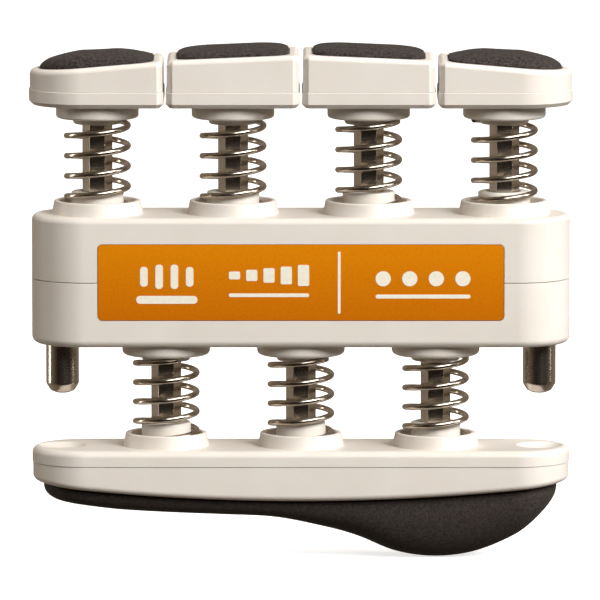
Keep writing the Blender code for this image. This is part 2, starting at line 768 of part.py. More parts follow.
def make_finger(number, x, outward, inward):
    """One finger piston: plate, cap, pad, shaft, screw and clip; inward is the way its top rises."""
    axis = add_axis(f"finger_{number}_axis", x)
    name = f"finger_{number}_"
    rise = END_CAP_RISE if outward else MIDDLE_CAP_RISE
    gradient = inward * (END_CAP_SLOPE if outward else MIDDLE_CAP_SLOPE)
    pad_rise = END_PAD_RISE if outward else MIDDLE_PAD_RISE
    pad_dome = END_PAD_DOME if outward else MIDDLE_PAD_DOME
    pad_tilt = gradient - inward * END_PAD_LEVELLING if outward else gradient
    plate_top = CAP_BOTTOM + PLATE_HEIGHT
    cap_top = CAP_BOTTOM + rise

    plate = prism(
        name + "base_plate", cap_plan(0.0, CAP_CORNER, 1, outward), CAP_BOTTOM, plate_top, PARTS, axis
    )
    round_rim(plate, -1, PLATE_EDGE)
    collar = collar_profile(CAP_BOTTOM, FINGER_COLLAR_RADIUS, FINGER_COLLAR_HEIGHT, FINGER_COLLAR_EDGE)
    join(plate, turned(name + "collar", collar, CUTTERS, axis))
    collar_end = CAP_BOTTOM - FINGER_COLLAR_HEIGHT - BOSS_HEIGHT
    socket_top = plate_top - SOCKET_WEB
    socket = hexagon(
        name + "socket", SHAFT_ACROSS_FLATS + 2 * SEAM, collar_end - GAP, socket_top, CUTTERS, axis
    )
    hole_radius = SCREW_RADIUS + GAP
    screw_hole = rod(
        name + "screw_hole",
        hole_radius,
        socket_top - GAP,
        plate_top + GAP,
        CUTTERS,
        axis,
        facets=HOLE_FACETS,
    )
    cut(plate, socket, screw_hole)
    finish(plate, "ivory_" + name + "base_plate", IVORY)

    shell_low = plate_top + SEAM
    shell = prism(
        name + "cap", cap_plan(CAP_INSET, CAP_CORNER, 1, outward), shell_low, cap_top, PARTS, axis
    )
    slope(shell, 1, gradient)
    round_rim(shell, 1, CAP_EDGE)
    inside = cap_plan(CAP_WALL, CAP_CORNER, SMALL_FACETS, outward)
    hollow = prism(
        name + "hollow", inside, shell_low - GAP, cap_top - PAD_SINK - CAP_WALL + GAP, CUTTERS, axis
    )
    slope(hollow, 1, gradient)
    recess_plan = cap_plan(FINGER_PAD_MARGIN - SEAM, FINGER_PAD_CORNER, SMALL_FACETS, outward)
    recess = prism(name + "pad_recess", recess_plan, cap_top - PAD_SINK, cap_top + REACH_OUT, CUTTERS, axis)
    slope(recess, 1, gradient)
    slope(recess, -1, gradient)
    cut(shell, hollow, recess)
    finish(shell, "ivory_" + name + "cap", IVORY)

    pad_plan = cap_plan(FINGER_PAD_MARGIN, FINGER_PAD_CORNER, SMALL_FACETS, outward)
    pad = prism(name + "pad", pad_plan, cap_top - PAD_SINK + SEAM, cap_top + 2 * pad_rise, PARTS, axis)
    slope(pad, 1, gradient)
    slope(pad, -1, gradient)
    keep_within(pad, make_dome(name + "pad_dome", pad_dome, cap_top + pad_rise, pad_tilt, axis))
    round_sharp(pad, FINGER_PAD_ROUND, RIM_FACETS)
    finish(pad, "foam_" + name + "pad", DARK_FOAM)

    shaft_top = socket_top - GAP
    guide_end = HOUSING_TOP - FINGER_GUIDE_LENGTH
    make_shaft(
        name + "shaft",
        guide_end - SHAFT_TAIL,
        shaft_top,
        guide_end - GROOVE_HEIGHT,
        plate_top - SCREW_LENGTH - GAP,
        shaft_top + GAP,
        axis,
        0.0,
    )
    make_clip(name + "clip", guide_end - GAP - CLIP_THICKNESS, axis, 0.0)
    make_screw(name + "screw", plate_top + GAP, 1, axis, 0.0)


def make_finger_spring(number, x, start):
    """Spring between a seat on the housing and the collar of its finger cap."""
    top = CAP_BOTTOM - FINGER_COLLAR_HEIGHT
    make_spring(f"finger_{number}_spring", HOUSING_TOP, top, FINGER_PITCH_OF_COIL, start, x)


# ---------------------------------------------------------------- palm bar

def make_bar_upper(axis):
    """Upper plate of the palm bar: three spring seats, two dishes, and a boss under each shaft."""
    seam = BAR_TOP - BAR_PLATE
    plate = prism("palm_bar_upper", stadium(LENGTH, DEPTH), seam + SEAM / 2, BAR_TOP, PARTS, axis)
    round_rim(plate, 1, BAR_EDGE)
    hub_top = BAR_TOP + PALM_HUB_HEIGHT
    boss_end = seam - BAR_BOSS_DROP
    socket_low = boss_end + SOCKET_WEB
    across = SHAFT_ACROSS_FLATS + 2 * SEAM
    hole_radius = SCREW_RADIUS + GAP
    ring = ring_profile(BAR_TOP, PALM_SEAT_RADIUS, PALM_GROOVE_RADIUS)
    hub = hub_profile(PALM_HUB_RADIUS, hub_top, BAR_TOP - EMBED, boss_end)
    added = []
    removed = []
    for number, x in enumerate(palm_positions(), 1):
        added.append(turned(f"bar_ring_{number}", ring, CUTTERS, axis, x, closed=True))
        added.append(turned(f"bar_hub_{number}", hub, CUTTERS, axis, x))
        removed.append(hexagon(f"bar_socket_{number}", across, socket_low, hub_top + GAP, CUTTERS, axis, x))
        hole_name = f"bar_hole_{number}"
        hole_top = socket_low + GAP
        removed.append(
            rod(hole_name, hole_radius, boss_end - GAP, hole_top, CUTTERS, axis, x, facets=HOLE_FACETS)
        )
    ball = (DISH_RADIUS ** 2 + DISH_DEPTH ** 2) / (2 * DISH_DEPTH)
    for side, x in (("left", -PIN_X), ("right", PIN_X)):
        mesh = bpy.data.meshes.new(f"dish_{side}")
        shape = bmesh.new()
        bmesh.ops.create_uvsphere(shape, u_segments=TURN_FACETS, v_segments=TURN_FACETS, radius=ball)
        shape.to_mesh(mesh)
        shape.free()
        centre = (x, 0.0, BAR_TOP + ball - DISH_DEPTH)
        removed.append(add_object(f"dish_{side}", mesh, CUTTERS, axis, centre))
    join(plate, *added)
    cut(plate, *removed)
    finish(plate, "ivory_palm_bar_upper", IVORY)


def make_bar_lower(axis):
    """Lower shell of the palm bar: a hollow tray with a crowned underside."""
    seam = BAR_TOP - BAR_PLATE
    length = LENGTH - 2 * BAR_DRAFT
    depth = DEPTH - 2 * BAR_DRAFT
    tray = prism("palm_bar_lower", stadium(length, depth), 0.0, BAR_TOP + BAR_PLATE, PARTS, axis)
    keep_within(tray, upright("bar_crown", crown_outline(0.0), -DEPTH, DEPTH, CUTTERS, axis))
    round_sharp(tray, BAR_LOWER_EDGE, SMALL_FACETS)
    top = box(
        "bar_trim", (-LENGTH, -DEPTH, seam - SEAM / 2), (LENGTH, DEPTH, BAR_TOP + DEPTH), CUTTERS, axis
    )
    hollow_plan = stadium(length - 2 * WALL, depth - 2 * WALL)
    hollow = prism("bar_hollow", hollow_plan, 0.0, BAR_TOP, CUTTERS, axis)
    keep_within(hollow, upright("bar_hollow_crown", crown_outline(BAR_FLOOR), -DEPTH, DEPTH, CUTTERS, axis))
    cut(tray, top, hollow)
    finish(tray, "ivory_palm_bar_lower", IVORY)


def palm_pad_outline():
    """XZ outline of the palm pad: smooth underside, and a top that follows the bar's crown."""
    curve = bpy.data.curves.new("pad_underside", "CURVE")
    curve.dimensions = "2D"
    curve.resolution_u = PALM_PAD_CURVE
    spline = curve.splines.new("BEZIER")
    spline.bezier_points.add(len(PALM_PAD_UNDERSIDE) - 1)
    for point, (x, z) in zip(spline.bezier_points, PALM_PAD_UNDERSIDE):
        point.co = (x, z, 0.0)
        point.handle_left_type = "AUTO"
        point.handle_right_type = "AUTO"
    guide = bpy.data.objects.new("pad_underside", curve)
    bpy.context.scene.collection.objects.link(guide)
    line = bpy.data.meshes.new_from_object(guide.evaluated_get(bpy.context.evaluated_depsgraph_get()))
    underside = [(vertex.co.x, vertex.co.y) for vertex in line.vertices]
    bpy.data.objects.remove(guide, do_unlink=True)
    first = underside[0][0]
    last = underside[-1][0]
    top = []
    for step in range(BAR_CROWN_FACETS + 1):
        x = last + (first - last) * step / BAR_CROWN_FACETS
        top.append((x, crown(x) - GAP))
    return underside + top


def make_palm_pad(axis):
    """Soft pad under the palm bar."""
    left = PALM_PAD_UNDERSIDE[0][0]
    right = PALM_PAD_UNDERSIDE[-1][0]
    half = PALM_PAD_DEPTH / 2
    pad = prism("palm_pad", plan(left, right, PALM_PAD_DEPTH, half, half), -GAP, BAR_TOP, PARTS, axis)
    keep_within(pad, upright("palm_pad_side", palm_pad_outline(), -DEPTH, DEPTH, CUTTERS, axis))
    round_sharp(pad, PALM_PAD_ROUND, RIM_FACETS)
    finish(pad, "foam_palm_pad", DARK_FOAM)


def make_palm_bar():
    """The palm bar with its pad, and the three shafts that it pushes up into the housing."""
    axis = add_axis("palm_bar_axis", 0.0)
    make_bar_upper(axis)
    make_bar_lower(axis)
    make_palm_pad(axis)
    boss_face = BAR_TOP - BAR_PLATE - BAR_BOSS_DROP
    shaft_low = boss_face + SOCKET_WEB + GAP
    guide_end = HOUSING_BOTTOM + PALM_GUIDE_LENGTH
    seat = HOUSING_BOTTOM - COLLAR_HEIGHT
    places = zip(("left", "middle", "right"), palm_positions(), PALM_COIL_STARTS)
    for side, x, start in places:
        make_shaft(
            f"palm_shaft_{side}",
            shaft_low,
            guide_end + SHAFT_TAIL,
            guide_end,
            shaft_low - GAP,
            boss_face + SCREW_LENGTH + GAP,
            axis,
            x,
        )
        make_clip(f"palm_clip_{side}", guide_end + GAP, axis, x)
        make_screw(f"palm_screw_{side}", boss_face - GAP, -1, axis, x)
        make_spring(f"palm_spring_{side}", BAR_TOP, seat, PALM_PITCH_OF_COIL, start, x)


# ---------------------------------------------------------------- assembly

PARTS, CUTTERS = start_scene()

make_housing_upper()
make_housing_lower()
make_label()
make_guide_pins()
for finger, (finger_x, coil_start) in enumerate(zip(finger_positions(), FINGER_COIL_STARTS), 1):
    away = {1: -1, FINGER_COUNT: 1}.get(finger, 0)
    towards_middle = 1 if finger_x < 0 else -1
    make_finger(finger, finger_x, away, towards_middle)
    make_finger_spring(finger, finger_x, coil_start)
make_palm_bar()
show_groups()
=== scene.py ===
"""Looks of the finger exerciser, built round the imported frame. Units are metres."""
import math

import bmesh
import bpy
from mathutils import Matrix, Vector


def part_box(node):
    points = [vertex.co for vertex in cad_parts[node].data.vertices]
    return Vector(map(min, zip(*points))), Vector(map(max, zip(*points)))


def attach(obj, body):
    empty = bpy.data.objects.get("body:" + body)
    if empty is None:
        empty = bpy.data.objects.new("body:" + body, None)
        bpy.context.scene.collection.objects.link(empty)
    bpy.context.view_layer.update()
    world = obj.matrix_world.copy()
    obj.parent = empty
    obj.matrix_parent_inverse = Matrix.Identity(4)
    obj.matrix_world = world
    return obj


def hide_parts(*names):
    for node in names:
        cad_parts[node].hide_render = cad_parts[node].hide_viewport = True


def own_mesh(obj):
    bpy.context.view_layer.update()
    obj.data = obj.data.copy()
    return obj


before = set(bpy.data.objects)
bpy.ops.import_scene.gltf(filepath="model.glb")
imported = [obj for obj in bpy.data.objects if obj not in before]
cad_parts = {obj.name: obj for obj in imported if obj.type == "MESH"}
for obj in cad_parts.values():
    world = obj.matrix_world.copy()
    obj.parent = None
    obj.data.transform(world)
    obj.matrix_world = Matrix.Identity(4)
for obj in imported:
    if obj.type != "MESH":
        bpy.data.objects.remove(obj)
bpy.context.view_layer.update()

MM = 0.001
WELD = 0.0005 * MM
CLOSING_WELD = 0.002 * MM

# ---------------------------------------------------------------- sizes read from the frame

upper_low, upper_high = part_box("housing_upper")
lower_low, lower_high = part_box("housing_lower")
label_low, label_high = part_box("label_front")
bar_low, bar_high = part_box("palm_bar_upper")
tray_low, tray_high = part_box("palm_bar_lower")
palm_pad_low, palm_pad_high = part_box("palm_pad")
FINGERS = range(1, 5)
PALM_SIDES = ("left", "middle", "right")


def middle_x(node):
    """X of the middle of a node's box."""
    low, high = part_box(node)
    return (low.x + high.x) / 2


FINGER_X = [middle_x(f"finger_{number}_shaft") for number in FINGERS]
PALM_X = [middle_x(f"palm_shaft_{side}") for side in PALM_SIDES]
PIN_X = [middle_x(f"guide_pin_{side}") for side in ("left", "right")]
LENGTH = upper_high.x - upper_low.x
DEPTH = upper_high.y - upper_low.y

# ---------------------------------------------------------------- details finer than the frame's boxes

# Clearances, seams and walls
GAP = 0.3 * MM
SEAM = 0.2 * MM
WALL = 1.8 * MM
EMBED = 0.8 * MM
REACH_OUT = 3.0 * MM
SEAM_EDGE = 0.06 * MM
PARTING_SEAM = 0.1 * MM
BAR_SEAM = 0.04 * MM

# Facets, and crease angles in degrees
TURN_FACETS = 96
INNER_FACETS = 48
HOLE_FACETS = 32
ARC_FACETS = 24
SMALL_ARC_FACETS = 8
HEX_ARC_FACETS = 6
RIM_FACETS = 8
SHARP_ANGLE = 32.0
BAR_SHARP_ANGLE = 28.0
TRAY_SHARP_ANGLE = 35.0
STEEL_SHARP_ANGLE = 40.0
WIRE_SHARP_ANGLE = 50.0
PAD_SHARP_ANGLE = 60.0
FLATNESS = 90

# Spring seats
SEAT_HEIGHT = 2.0 * MM
SEAT_TAPER = 0.4 * MM
SEAT_LIP = 0.22 * MM
FINGER_SEAT_RADIUS = 6.93 * MM
FINGER_GROOVE_RADIUS = 5.8 * MM
FINGER_HUB_RADIUS = 3.95 * MM
FINGER_HUB_HEIGHT = 3.35 * MM
PALM_SEAT_RADIUS = 6.53 * MM
PALM_GROOVE_RADIUS = 5.4 * MM
PALM_HUB_RADIUS = 3.75 * MM
PALM_HUB_HEIGHT = 3.6 * MM

# Housing faces, collars and bosses
HOUSING_TOP = upper_high.z - FINGER_HUB_HEIGHT
COLLAR_HEIGHT = 1.85 * MM
BOSS_HEIGHT = 0.9 * MM
HOUSING_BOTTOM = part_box("palm_spring_left")[1].z + COLLAR_HEIGHT
HOUSING_TOP_EDGE = 0.9 * MM
HOUSING_BOTTOM_EDGE = 1.1 * MM
PALM_COLLAR_RADIUS = 6.65 * MM
PALM_COLLAR_EDGE = 0.7 * MM
FINGER_COLLAR_RADIUS = 6.25 * MM
FINGER_COLLAR_HEIGHT = 2.1 * MM
FINGER_COLLAR_EDGE = 0.5 * MM
BOSS_RADIUS = 3.85 * MM

# Shafts, their guides and screws
SHAFT_ACROSS_FLATS = 3.97 * MM
SHAFT_BORE = 2.6 * MM
SHAFT_EDGE = 0.13 * MM
GUIDE_RADIUS = 3.4 * MM
FINGER_GUIDE_LENGTH = 5.6 * MM
PALM_GUIDE_LENGTH = 5.35 * MM
GROOVE_HEIGHT = 1.0 * MM
GROOVE_CORE = 1.5 * MM
SCREW_RADIUS = 0.9 * MM
SCREW_LENGTH = 5.0 * MM
SOCKET_WEB = 1.2 * MM

# Guide pins
PIN_RADIUS = 2.5 * MM
PIN_NOSE = 1.45 * MM
PIN_TIP_RADIUS = 1.0 * MM
PIN_DIMPLE_RADIUS = 0.5 * MM
PIN_DIMPLE_DEPTH = 0.7 * MM
PIN_FLARE = 0.12 * MM
PIN_FLARE_RISE = 0.1 * MM
PIN_FLARE_ROUND = 0.05 * MM
PIN_TIP_ROUND = 0.12 * MM
PIN_BREAK_SHARE = 0.55
PIN_BREAK_RISE = 0.35 * MM
PIN_BREAK_ROUND = 0.6 * MM
PIN_SIDE_ROUND = 0.7 * MM
PIN_SHOULDER_ROUND = 0.1 * MM
PIN_SHOULDER_RISE = 1.0 * MM
PIN_SHANK_RADIUS = 1.2 * MM
PIN_SHANK_LENGTH = 14.0 * MM
PIN_SEAT_RADIUS = 3.2 * MM
PIN_SEAT_RISE = 1.05 * MM
PIN_BOSS_RADIUS = 2.3 * MM

# Parting line and label
TONGUE_LENGTH = 58.0 * MM
TONGUE_THICKNESS = 0.9 * MM
TONGUE_RISE = 1.3 * MM
TONGUE_FOOT = 2.2 * MM
PARTING = lower_high.z - TONGUE_RISE
LABEL_CORNER = 0.7 * MM
LABEL_GAP = 0.07 * MM
LABEL_EDGE = 0.1 * MM

# Springs, with the turn at which each coil starts in degrees
WIRE = 0.9 * MM
COIL_RADIUS = 4.65 * MM
FINGER_PITCH_OF_COIL = 3.07 * MM
PALM_PITCH_OF_COIL = 2.95 * MM
COIL_STEPS = 40
WIRE_FACETS = 6
FINGER_COIL_STARTS = (-64.0, -63.0, -174.0, 15.0)
PALM_COIL_STARTS = (147.0, -178.0, -113.0)

# Palm bar
BAR_TOP = bar_high.z - PALM_HUB_HEIGHT
BAR_PLATE = 2.4 * MM
BAR_EDGE = 1.0 * MM
BAR_CROWN_DROP = 7.65 * MM
BAR_CROWN_RADIUS = 335.0 * MM
BAR_FLOOR = 1.6 * MM
BAR_LOWER_EDGE = 0.9 * MM
RIM_BREAK_SHARE = 0.3
BAR_INNER_STEPS = 10
BAR_OUTER_STEPS = 12
BAR_BOSS_DROP = 1.4 * MM
DISH_RADIUS = 3.5 * MM
DISH_DEPTH = 1.1 * MM
DISH_FACETS = 64
STADIUM_ARC_STEPS = 28
STADIUM_STRAIGHT_STEPS = 60

# Finger caps
PLATE_HEIGHT = 2.4 * MM
PLATE_EDGE = 0.62 * MM
PLATE_TOP_EDGE = 0.1 * MM
PLATE_REACH = 10.1 * MM
END_REACH = 10.35 * MM
CAP_INSET = 0.15 * MM
CAP_SEAM = 0.02 * MM
CAP_CORNER = 0.95 * MM
SMALLEST_CORNER = 0.1 * MM
SMALLEST_ROUND = 0.03 * MM
CAP_SOFTNESS = 0.35 * MM
CAP_EDGE = 0.75 * MM
CAP_WALL = 1.6 * MM
END_CAP_RISE = 6.2 * MM
END_CAP_SLOPE = 0.085
MIDDLE_CAP_RISE = 7.6 * MM
MIDDLE_CAP_SLOPE = 0.042

# Pads
PAD_SINK = 0.5 * MM
FINGER_PAD_MARGIN = 1.7 * MM
FINGER_PAD_CORNER = 2.2 * MM
END_PAD_RISE = 2.1 * MM
END_PAD_DOME = 26.0 * MM
END_PAD_LEVELLING = 0.022
MIDDLE_PAD_RISE = 1.5 * MM
MIDDLE_PAD_DOME = 50.0 * MM
PAD_DOME_BLEND = 0.35 * MM
PAD_SIDE = 0.22 * MM
PAD_LEAST_CROWN = 0.1 * MM
PAD_ROLL = 1.5 * MM
PAD_ROUNDNESS = 2.0
PAD_LEAST_CORNER = 0.25 * MM
PAD_RINGS = 26
PAD_CROWDING = 1.6
PAD_CLOSING_SHARE = 0.93
PALM_PAD_ROLL = 1.3 * MM
PALM_PAD_ROUNDNESS = 2.5
PALM_PAD_RINGS = 30
PALM_PAD_CROWDING = 1.7

# ---------------------------------------------------------------- shape tools


def rounded(corners, facets=ARC_FACETS):
    """Closed outline through corners (x, y, radius), each an arc with facets to the quarter turn."""
    points = []
    for index, (x, y, radius) in enumerate(corners):
        here = Vector((x, y))
        if radius <= 0.0:
            points.append((x, y))
            continue
        before = (Vector(corners[index - 1][:2]) - here).normalized()
        after = (Vector(corners[(index + 1) % len(corners)][:2]) - here).normalized()
        half = before.angle(after) / 2
        centre = here + (before + after).normalized() * radius / math.sin(half)
        start = here + before * radius / math.tan(half) - centre
        finish = here + after * radius / math.tan(half) - centre
        sweep = start.angle_signed(finish)
        steps = max(2, round(facets * abs(sweep) / (math.pi / 2)))
        for step in range(steps + 1):
            angle = -sweep * step / steps
            turned = Matrix.Rotation(angle, 2) @ start
            point = (centre.x + turned.x, centre.y + turned.y)
            if not points or math.dist(point, points[-1]) > WELD:
                points.append(point)
    if math.dist(points[0], points[-1]) < WELD:
        points.pop()
    return points


def stadium(length, depth):
    """Outline with half-round ends."""
    half = depth / 2
    quarters = ((1, -1), (1, 1), (-1, 1), (-1, -1))
    return rounded([(side * length / 2, depth_side * half, half) for side, depth_side in quarters])


def to_object(name, shape, weld=WELD):
    """Scene object from a bmesh, with points closer than weld joined and its faces turned out."""
    bmesh.ops.remove_doubles(shape, verts=shape.verts, dist=weld)
    bmesh.ops.recalc_face_normals(shape, faces=shape.faces)
    mesh = bpy.data.meshes.new(name)
    shape.to_mesh(mesh)
    shape.free()
    item = bpy.data.objects.new(name, mesh)
    bpy.context.scene.collection.objects.link(item)
    return item


def skin(name, rings, filled=True, weld=WELD):
    """Solid through rings of equal length. Its end rings are filled, or else are lines that weld shut."""
    assert len({len(ring) for ring in rings}) == 1, name
    shape = bmesh.new()
    made = [[shape.verts.new(point) for point in ring] for ring in rings]
    if filled:
        shape.faces.new(made[0])
        shape.faces.new(made[-1])
    for lower, upper in zip(made, made[1:]):
        for index, _ in enumerate(lower):
            follower = (index + 1) % len(lower)
            shape.faces.new((lower[index], lower[follower], upper[follower], upper[index]))
    return to_object(name, shape, weld)


def prism(
    name, outline, low, high, x=0.0, low_slope=0.0, high_slope=0.0, low_edge=0.0, high_edge=0.0, facets=5
):
    """Outline in plan between two heights, which may slope along X, with rounded rims."""
    shape = bmesh.new()
    base = [shape.verts.new((px + x, py, low + low_slope * px)) for px, py in outline]
    roof = [shape.verts.new((px + x, py, high + high_slope * px)) for px, py in outline]
    floor_face = shape.faces.new(base)
    roof_face = shape.faces.new(roof)
    for index, _ in enumerate(base):
        follower = (index + 1) % len(base)
        shape.faces.new((base[index], base[follower], roof[follower], roof[index]))
    bmesh.ops.recalc_face_normals(shape, faces=shape.faces)
    low_rim = list(floor_face.edges)
    high_rim = list(roof_face.edges)
    for rim, width in ((low_rim, low_edge), (high_rim, high_edge)):
        if width > 0.0:
            bmesh.ops.bevel(
                shape,
                geom=rim,
                offset=width,
                segments=facets,
                profile=0.5,
                affect="EDGES",
                clamp_overlap=True,
            )
    return to_object(name, shape)


def rimmed(
    name,
    plan,
    low,
    high,
    x,
    slope=0.0,
    low_edge=0.0,
    high_edge=0.0,
    low_facets=RIM_FACETS,
    high_facets=RIM_FACETS,
):
    """Solid between two heights whose rounded rims follow the outlines that plan(inset) gives."""
    levels = []
    for step in range(low_facets + 1):
        angle = math.pi / 2 * step / low_facets
        levels.append((low_edge * (1 - math.sin(angle)), low + low_edge * (1 - math.cos(angle)), 0.0))
    for step in range(high_facets + 1):
        angle = math.pi / 2 * step / high_facets
        levels.append((high_edge * (1 - math.cos(angle)), high - high_edge * (1 - math.sin(angle)), slope))
    return skin(name, [
        [(px + x, py, height + tilt * px) for px, py in plan(inset)] for inset, height, tilt in levels
    ])


def upright(name, outline, front, back, front_edge=0.0):
    """Outline in the XZ plane between two depths, with a rounded front rim."""
    item = prism(name, outline, -back, -front, high_edge=front_edge, facets=3)
    item.data.transform(Matrix.Rotation(math.pi / 2, 4, "X"))
    return item


def box(name, low, high):
    """Box between two corners."""
    outline = [(low[0], low[1]), (high[0], low[1]), (high[0], high[1]), (low[0], high[1])]
    return prism(name, outline, low[2], high[2])


def lathe(name, corners, x=0.0, facets=TURN_FACETS):
    """Solid of revolution from a closed (radius, z, rounding) outline, which may touch the axis."""
    points = rounded(corners, SMALL_ARC_FACETS)
    shape = bmesh.new()
    rings = []
    for radius, z in points:
        if radius < WELD:
            rings.append([shape.verts.new((x, 0.0, z))])
            continue
        ring = []
        for step in range(facets):
            angle = 2 * math.pi * step / facets
            ring.append(shape.verts.new((x + radius * math.cos(angle), radius * math.sin(angle), z)))
        rings.append(ring)
    for index, ring in enumerate(rings):
        other = rings[(index + 1) % len(rings)]
        if len(ring) == 1 and len(other) == 1:
            continue
        for step in range(facets):
            follower = (step + 1) % facets
            loop = [ring[step % len(ring)], ring[follower % len(ring)]]
            loop += [other[follower % len(other)], other[step % len(other)]]
            shape.faces.new(list(dict.fromkeys(loop)))
    return to_object(name, shape)


def rod(name, radius, low, high, x=0.0, facets=TURN_FACETS):
    """Cylinder between two heights."""
    profile = [(0.0, low, 0.0), (radius, low, 0.0), (radius, high, 0.0), (0.0, high, 0.0)]
    return lathe(name, profile, x, facets)


def hexagon(name, across_flats, low, high, x=0.0, edge=0.0):
    """Hexagonal bar with a flat to the front and rounded corners."""
    radius = across_flats / math.sqrt(3.0)
    corners = []
    for step in range(6):
        angle = math.radians(60.0 * step)
        corners.append((radius * math.cos(angle), radius * math.sin(angle), edge))
    return prism(name, rounded(corners, HEX_ARC_FACETS), low, high, x)


def combine(item, operation, tools):
    """Join or cut a piece with its tools, keep the result as its mesh and drop the tools."""
    group = bpy.data.collections.new("tools")
    bpy.context.scene.collection.children.link(group)
    for tool in tools:
        bpy.context.scene.collection.objects.unlink(tool)
        group.objects.link(tool)
    modifier = item.modifiers.new("Combine", "BOOLEAN")
    modifier.operation = operation
    modifier.solver = "EXACT"
    modifier.operand_type = "COLLECTION"
    modifier.collection = group
    bake(item)
    for tool in tools:
        bpy.data.objects.remove(tool, do_unlink=True)
    bpy.data.collections.remove(group)


def bake(item):
    """Keep what a piece's modifiers make as its mesh."""
    evaluated = item.evaluated_get(bpy.context.evaluated_depsgraph_get())
    mesh = bpy.data.meshes.new_from_object(evaluated)
    item.modifiers.clear()
    item.data = mesh


def shade(item, sharp_angle=SHARP_ANGLE):
    """Smooth shading that keeps flat faces flat and creases above an angle in degrees."""
    item.data.shade_smooth()
    item.data.set_sharp_from_angle(angle=math.radians(sharp_angle))
    weighted = item.modifiers.new("Normals", "WEIGHTED_NORMAL")
    weighted.keep_sharp = True
    weighted.weight = FLATNESS
    bake(item)


def settle(item, body, node, material):
    """Give a finished piece its material and body, and let it stand for its CAD node."""
    item.data.materials.clear()
    item.data.materials.append(material)
    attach(item, body)
    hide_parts(node)


# ---------------------------------------------------------------- materials

DULLING = 0.86


class Recipe:
    """Node tree of one material, with short calls for the nodes that the recipes share."""

    def __init__(self, name):
        self.material = bpy.data.materials.new(name)
        self.material.use_nodes = True
        self.tree = self.material.node_tree
        self.shader = self.tree.nodes["Principled BSDF"]
        self.place = self.tree.nodes.new("ShaderNodeTexCoord").outputs["Object"]

    def set(self, **values):
        """Set sockets of the shader by name, with _ for a space."""
        for name, value in values.items():
            self.shader.inputs[name.replace("_", " ")].default_value = value

    def link(self, source, target):
        """Join two sockets."""
        self.tree.links.new(source, target)

    def node(self, kind, **values):
        """New node with its input values."""
        made = self.tree.nodes.new(kind)
        for name, value in values.items():
            made.inputs[name.replace("_", " ")].default_value = value
        return made

    def connect(self, socket, source):
        """Feed a socket of the shader."""
        self.link(source, self.shader.inputs[socket])

    def noise(self, scale, detail, roughness=0.5, stretch=None):
        """Noise at a number of features per metre, stretched along an axis if asked."""
        made = self.node("ShaderNodeTexNoise", Scale=scale, Detail=detail, Roughness=roughness)
        place = self.place
        if stretch:
            mapping = self.node("ShaderNodeMapping", Scale=stretch)
            self.link(place, mapping.inputs["Vector"])
            place = mapping.outputs["Vector"]
        self.link(place, made.inputs["Vector"])
        return made.outputs["Fac"]

    def cells(self, scale):
        """Distance to the nearest of many scattered points."""
        made = self.node("ShaderNodeTexVoronoi", Scale=scale)
        self.link(self.place, made.inputs["Vector"])
        return made.outputs["Distance"]

    def ramp(self, value, low, high, start=0.0, end=1.0):
        """Colour that goes from low to high as a value goes from start to end."""
        made = self.node("ShaderNodeValToRGB")
        for element, position, colour in zip(made.color_ramp.elements, (start, end), (low, high)):
            element.position = position
            element.color = (*colour, 1.0)
        self.link(value, made.inputs["Fac"])
        return made.outputs["Color"]

    def spread(self, value, low, high):
        """Number from low to high as a value goes from 0 to 1."""
        made = self.node("ShaderNodeMapRange", To_Min=low, To_Max=high)
        self.link(value, made.inputs["Value"])
        return made.outputs["Result"]

    def bump(self, height, strength, distance, after=None):
        """Bump from a height, on top of another bump if given."""
        made = self.node("ShaderNodeBump", Strength=strength, Distance=distance)
        self.link(height, made.inputs["Height"])
        if after:
            self.link(after, made.inputs["Normal"])
        return made.outputs["Normal"]


def ivory_plastic():
    """Warm ivory ABS with a fine moulded texture and a slight depth to it."""
    recipe = Recipe("ivory_plastic")
    recipe.set(IOR=1.5, Subsurface_Weight=0.12, Subsurface_Radius=(1.0, 0.6, 0.35), Subsurface_Scale=0.6 * MM)
    cloud = recipe.noise(scale=130.0, detail=4.0)
    colour = recipe.ramp(cloud, low=(0.785, 0.73, 0.665), high=(0.815, 0.765, 0.705), start=0.3, end=0.7)
    recipe.connect("Base Color", colour)
    recipe.connect("Roughness", recipe.spread(cloud, low=0.36, high=0.46))
    grain = recipe.noise(scale=9000.0, detail=2.0)
    fine = recipe.bump(grain, strength=0.25, distance=0.012 * MM)
    waves = recipe.noise(scale=420.0, detail=2.0)
    recipe.connect("Normal", recipe.bump(waves, strength=0.12, distance=0.05 * MM, after=fine))
    return recipe.material


def orange_label():
    """Printed orange panel under a satin laminate, with painted light that makes it lighter towards the top.
    """
    recipe = Recipe("orange_label")
    recipe.set(IOR=1.5, Specular_IOR_Level=0.07, Roughness=0.45)
    parts = recipe.node("ShaderNodeSeparateXYZ")
    recipe.link(recipe.place, parts.inputs["Vector"])
    # Painted light: the orange gets lighter towards the top of the label, as if lit from above.
    height = recipe.node("ShaderNodeMapRange", From_Min=label_low.z, From_Max=label_high.z)
    recipe.link(parts.outputs["Z"], height.inputs["Value"])
    colour = recipe.ramp(height.outputs["Result"], low=(0.60, 0.158, 0.0008), high=(0.76, 0.240, 0.0010))
    cloud = recipe.noise(scale=2400.0, detail=4.0, roughness=0.7)
    mottle = recipe.ramp(cloud, low=(0.91, 0.90, 0.90), high=(1.0, 1.0, 1.0), start=0.38, end=0.62)
    mix = recipe.node("ShaderNodeMix")
    mix.data_type = "RGBA"
    mix.blend_type = "MULTIPLY"
    mix.inputs["Factor"].default_value = 1.0
    recipe.link(colour, mix.inputs["A"])
    recipe.link(mottle, mix.inputs["B"])
    recipe.connect("Base Color", mix.outputs["Result"])
    grain = recipe.noise(scale=2600.0, detail=2.0)
    recipe.connect("Normal", recipe.bump(grain, strength=0.10, distance=0.01 * MM))
    return recipe.material


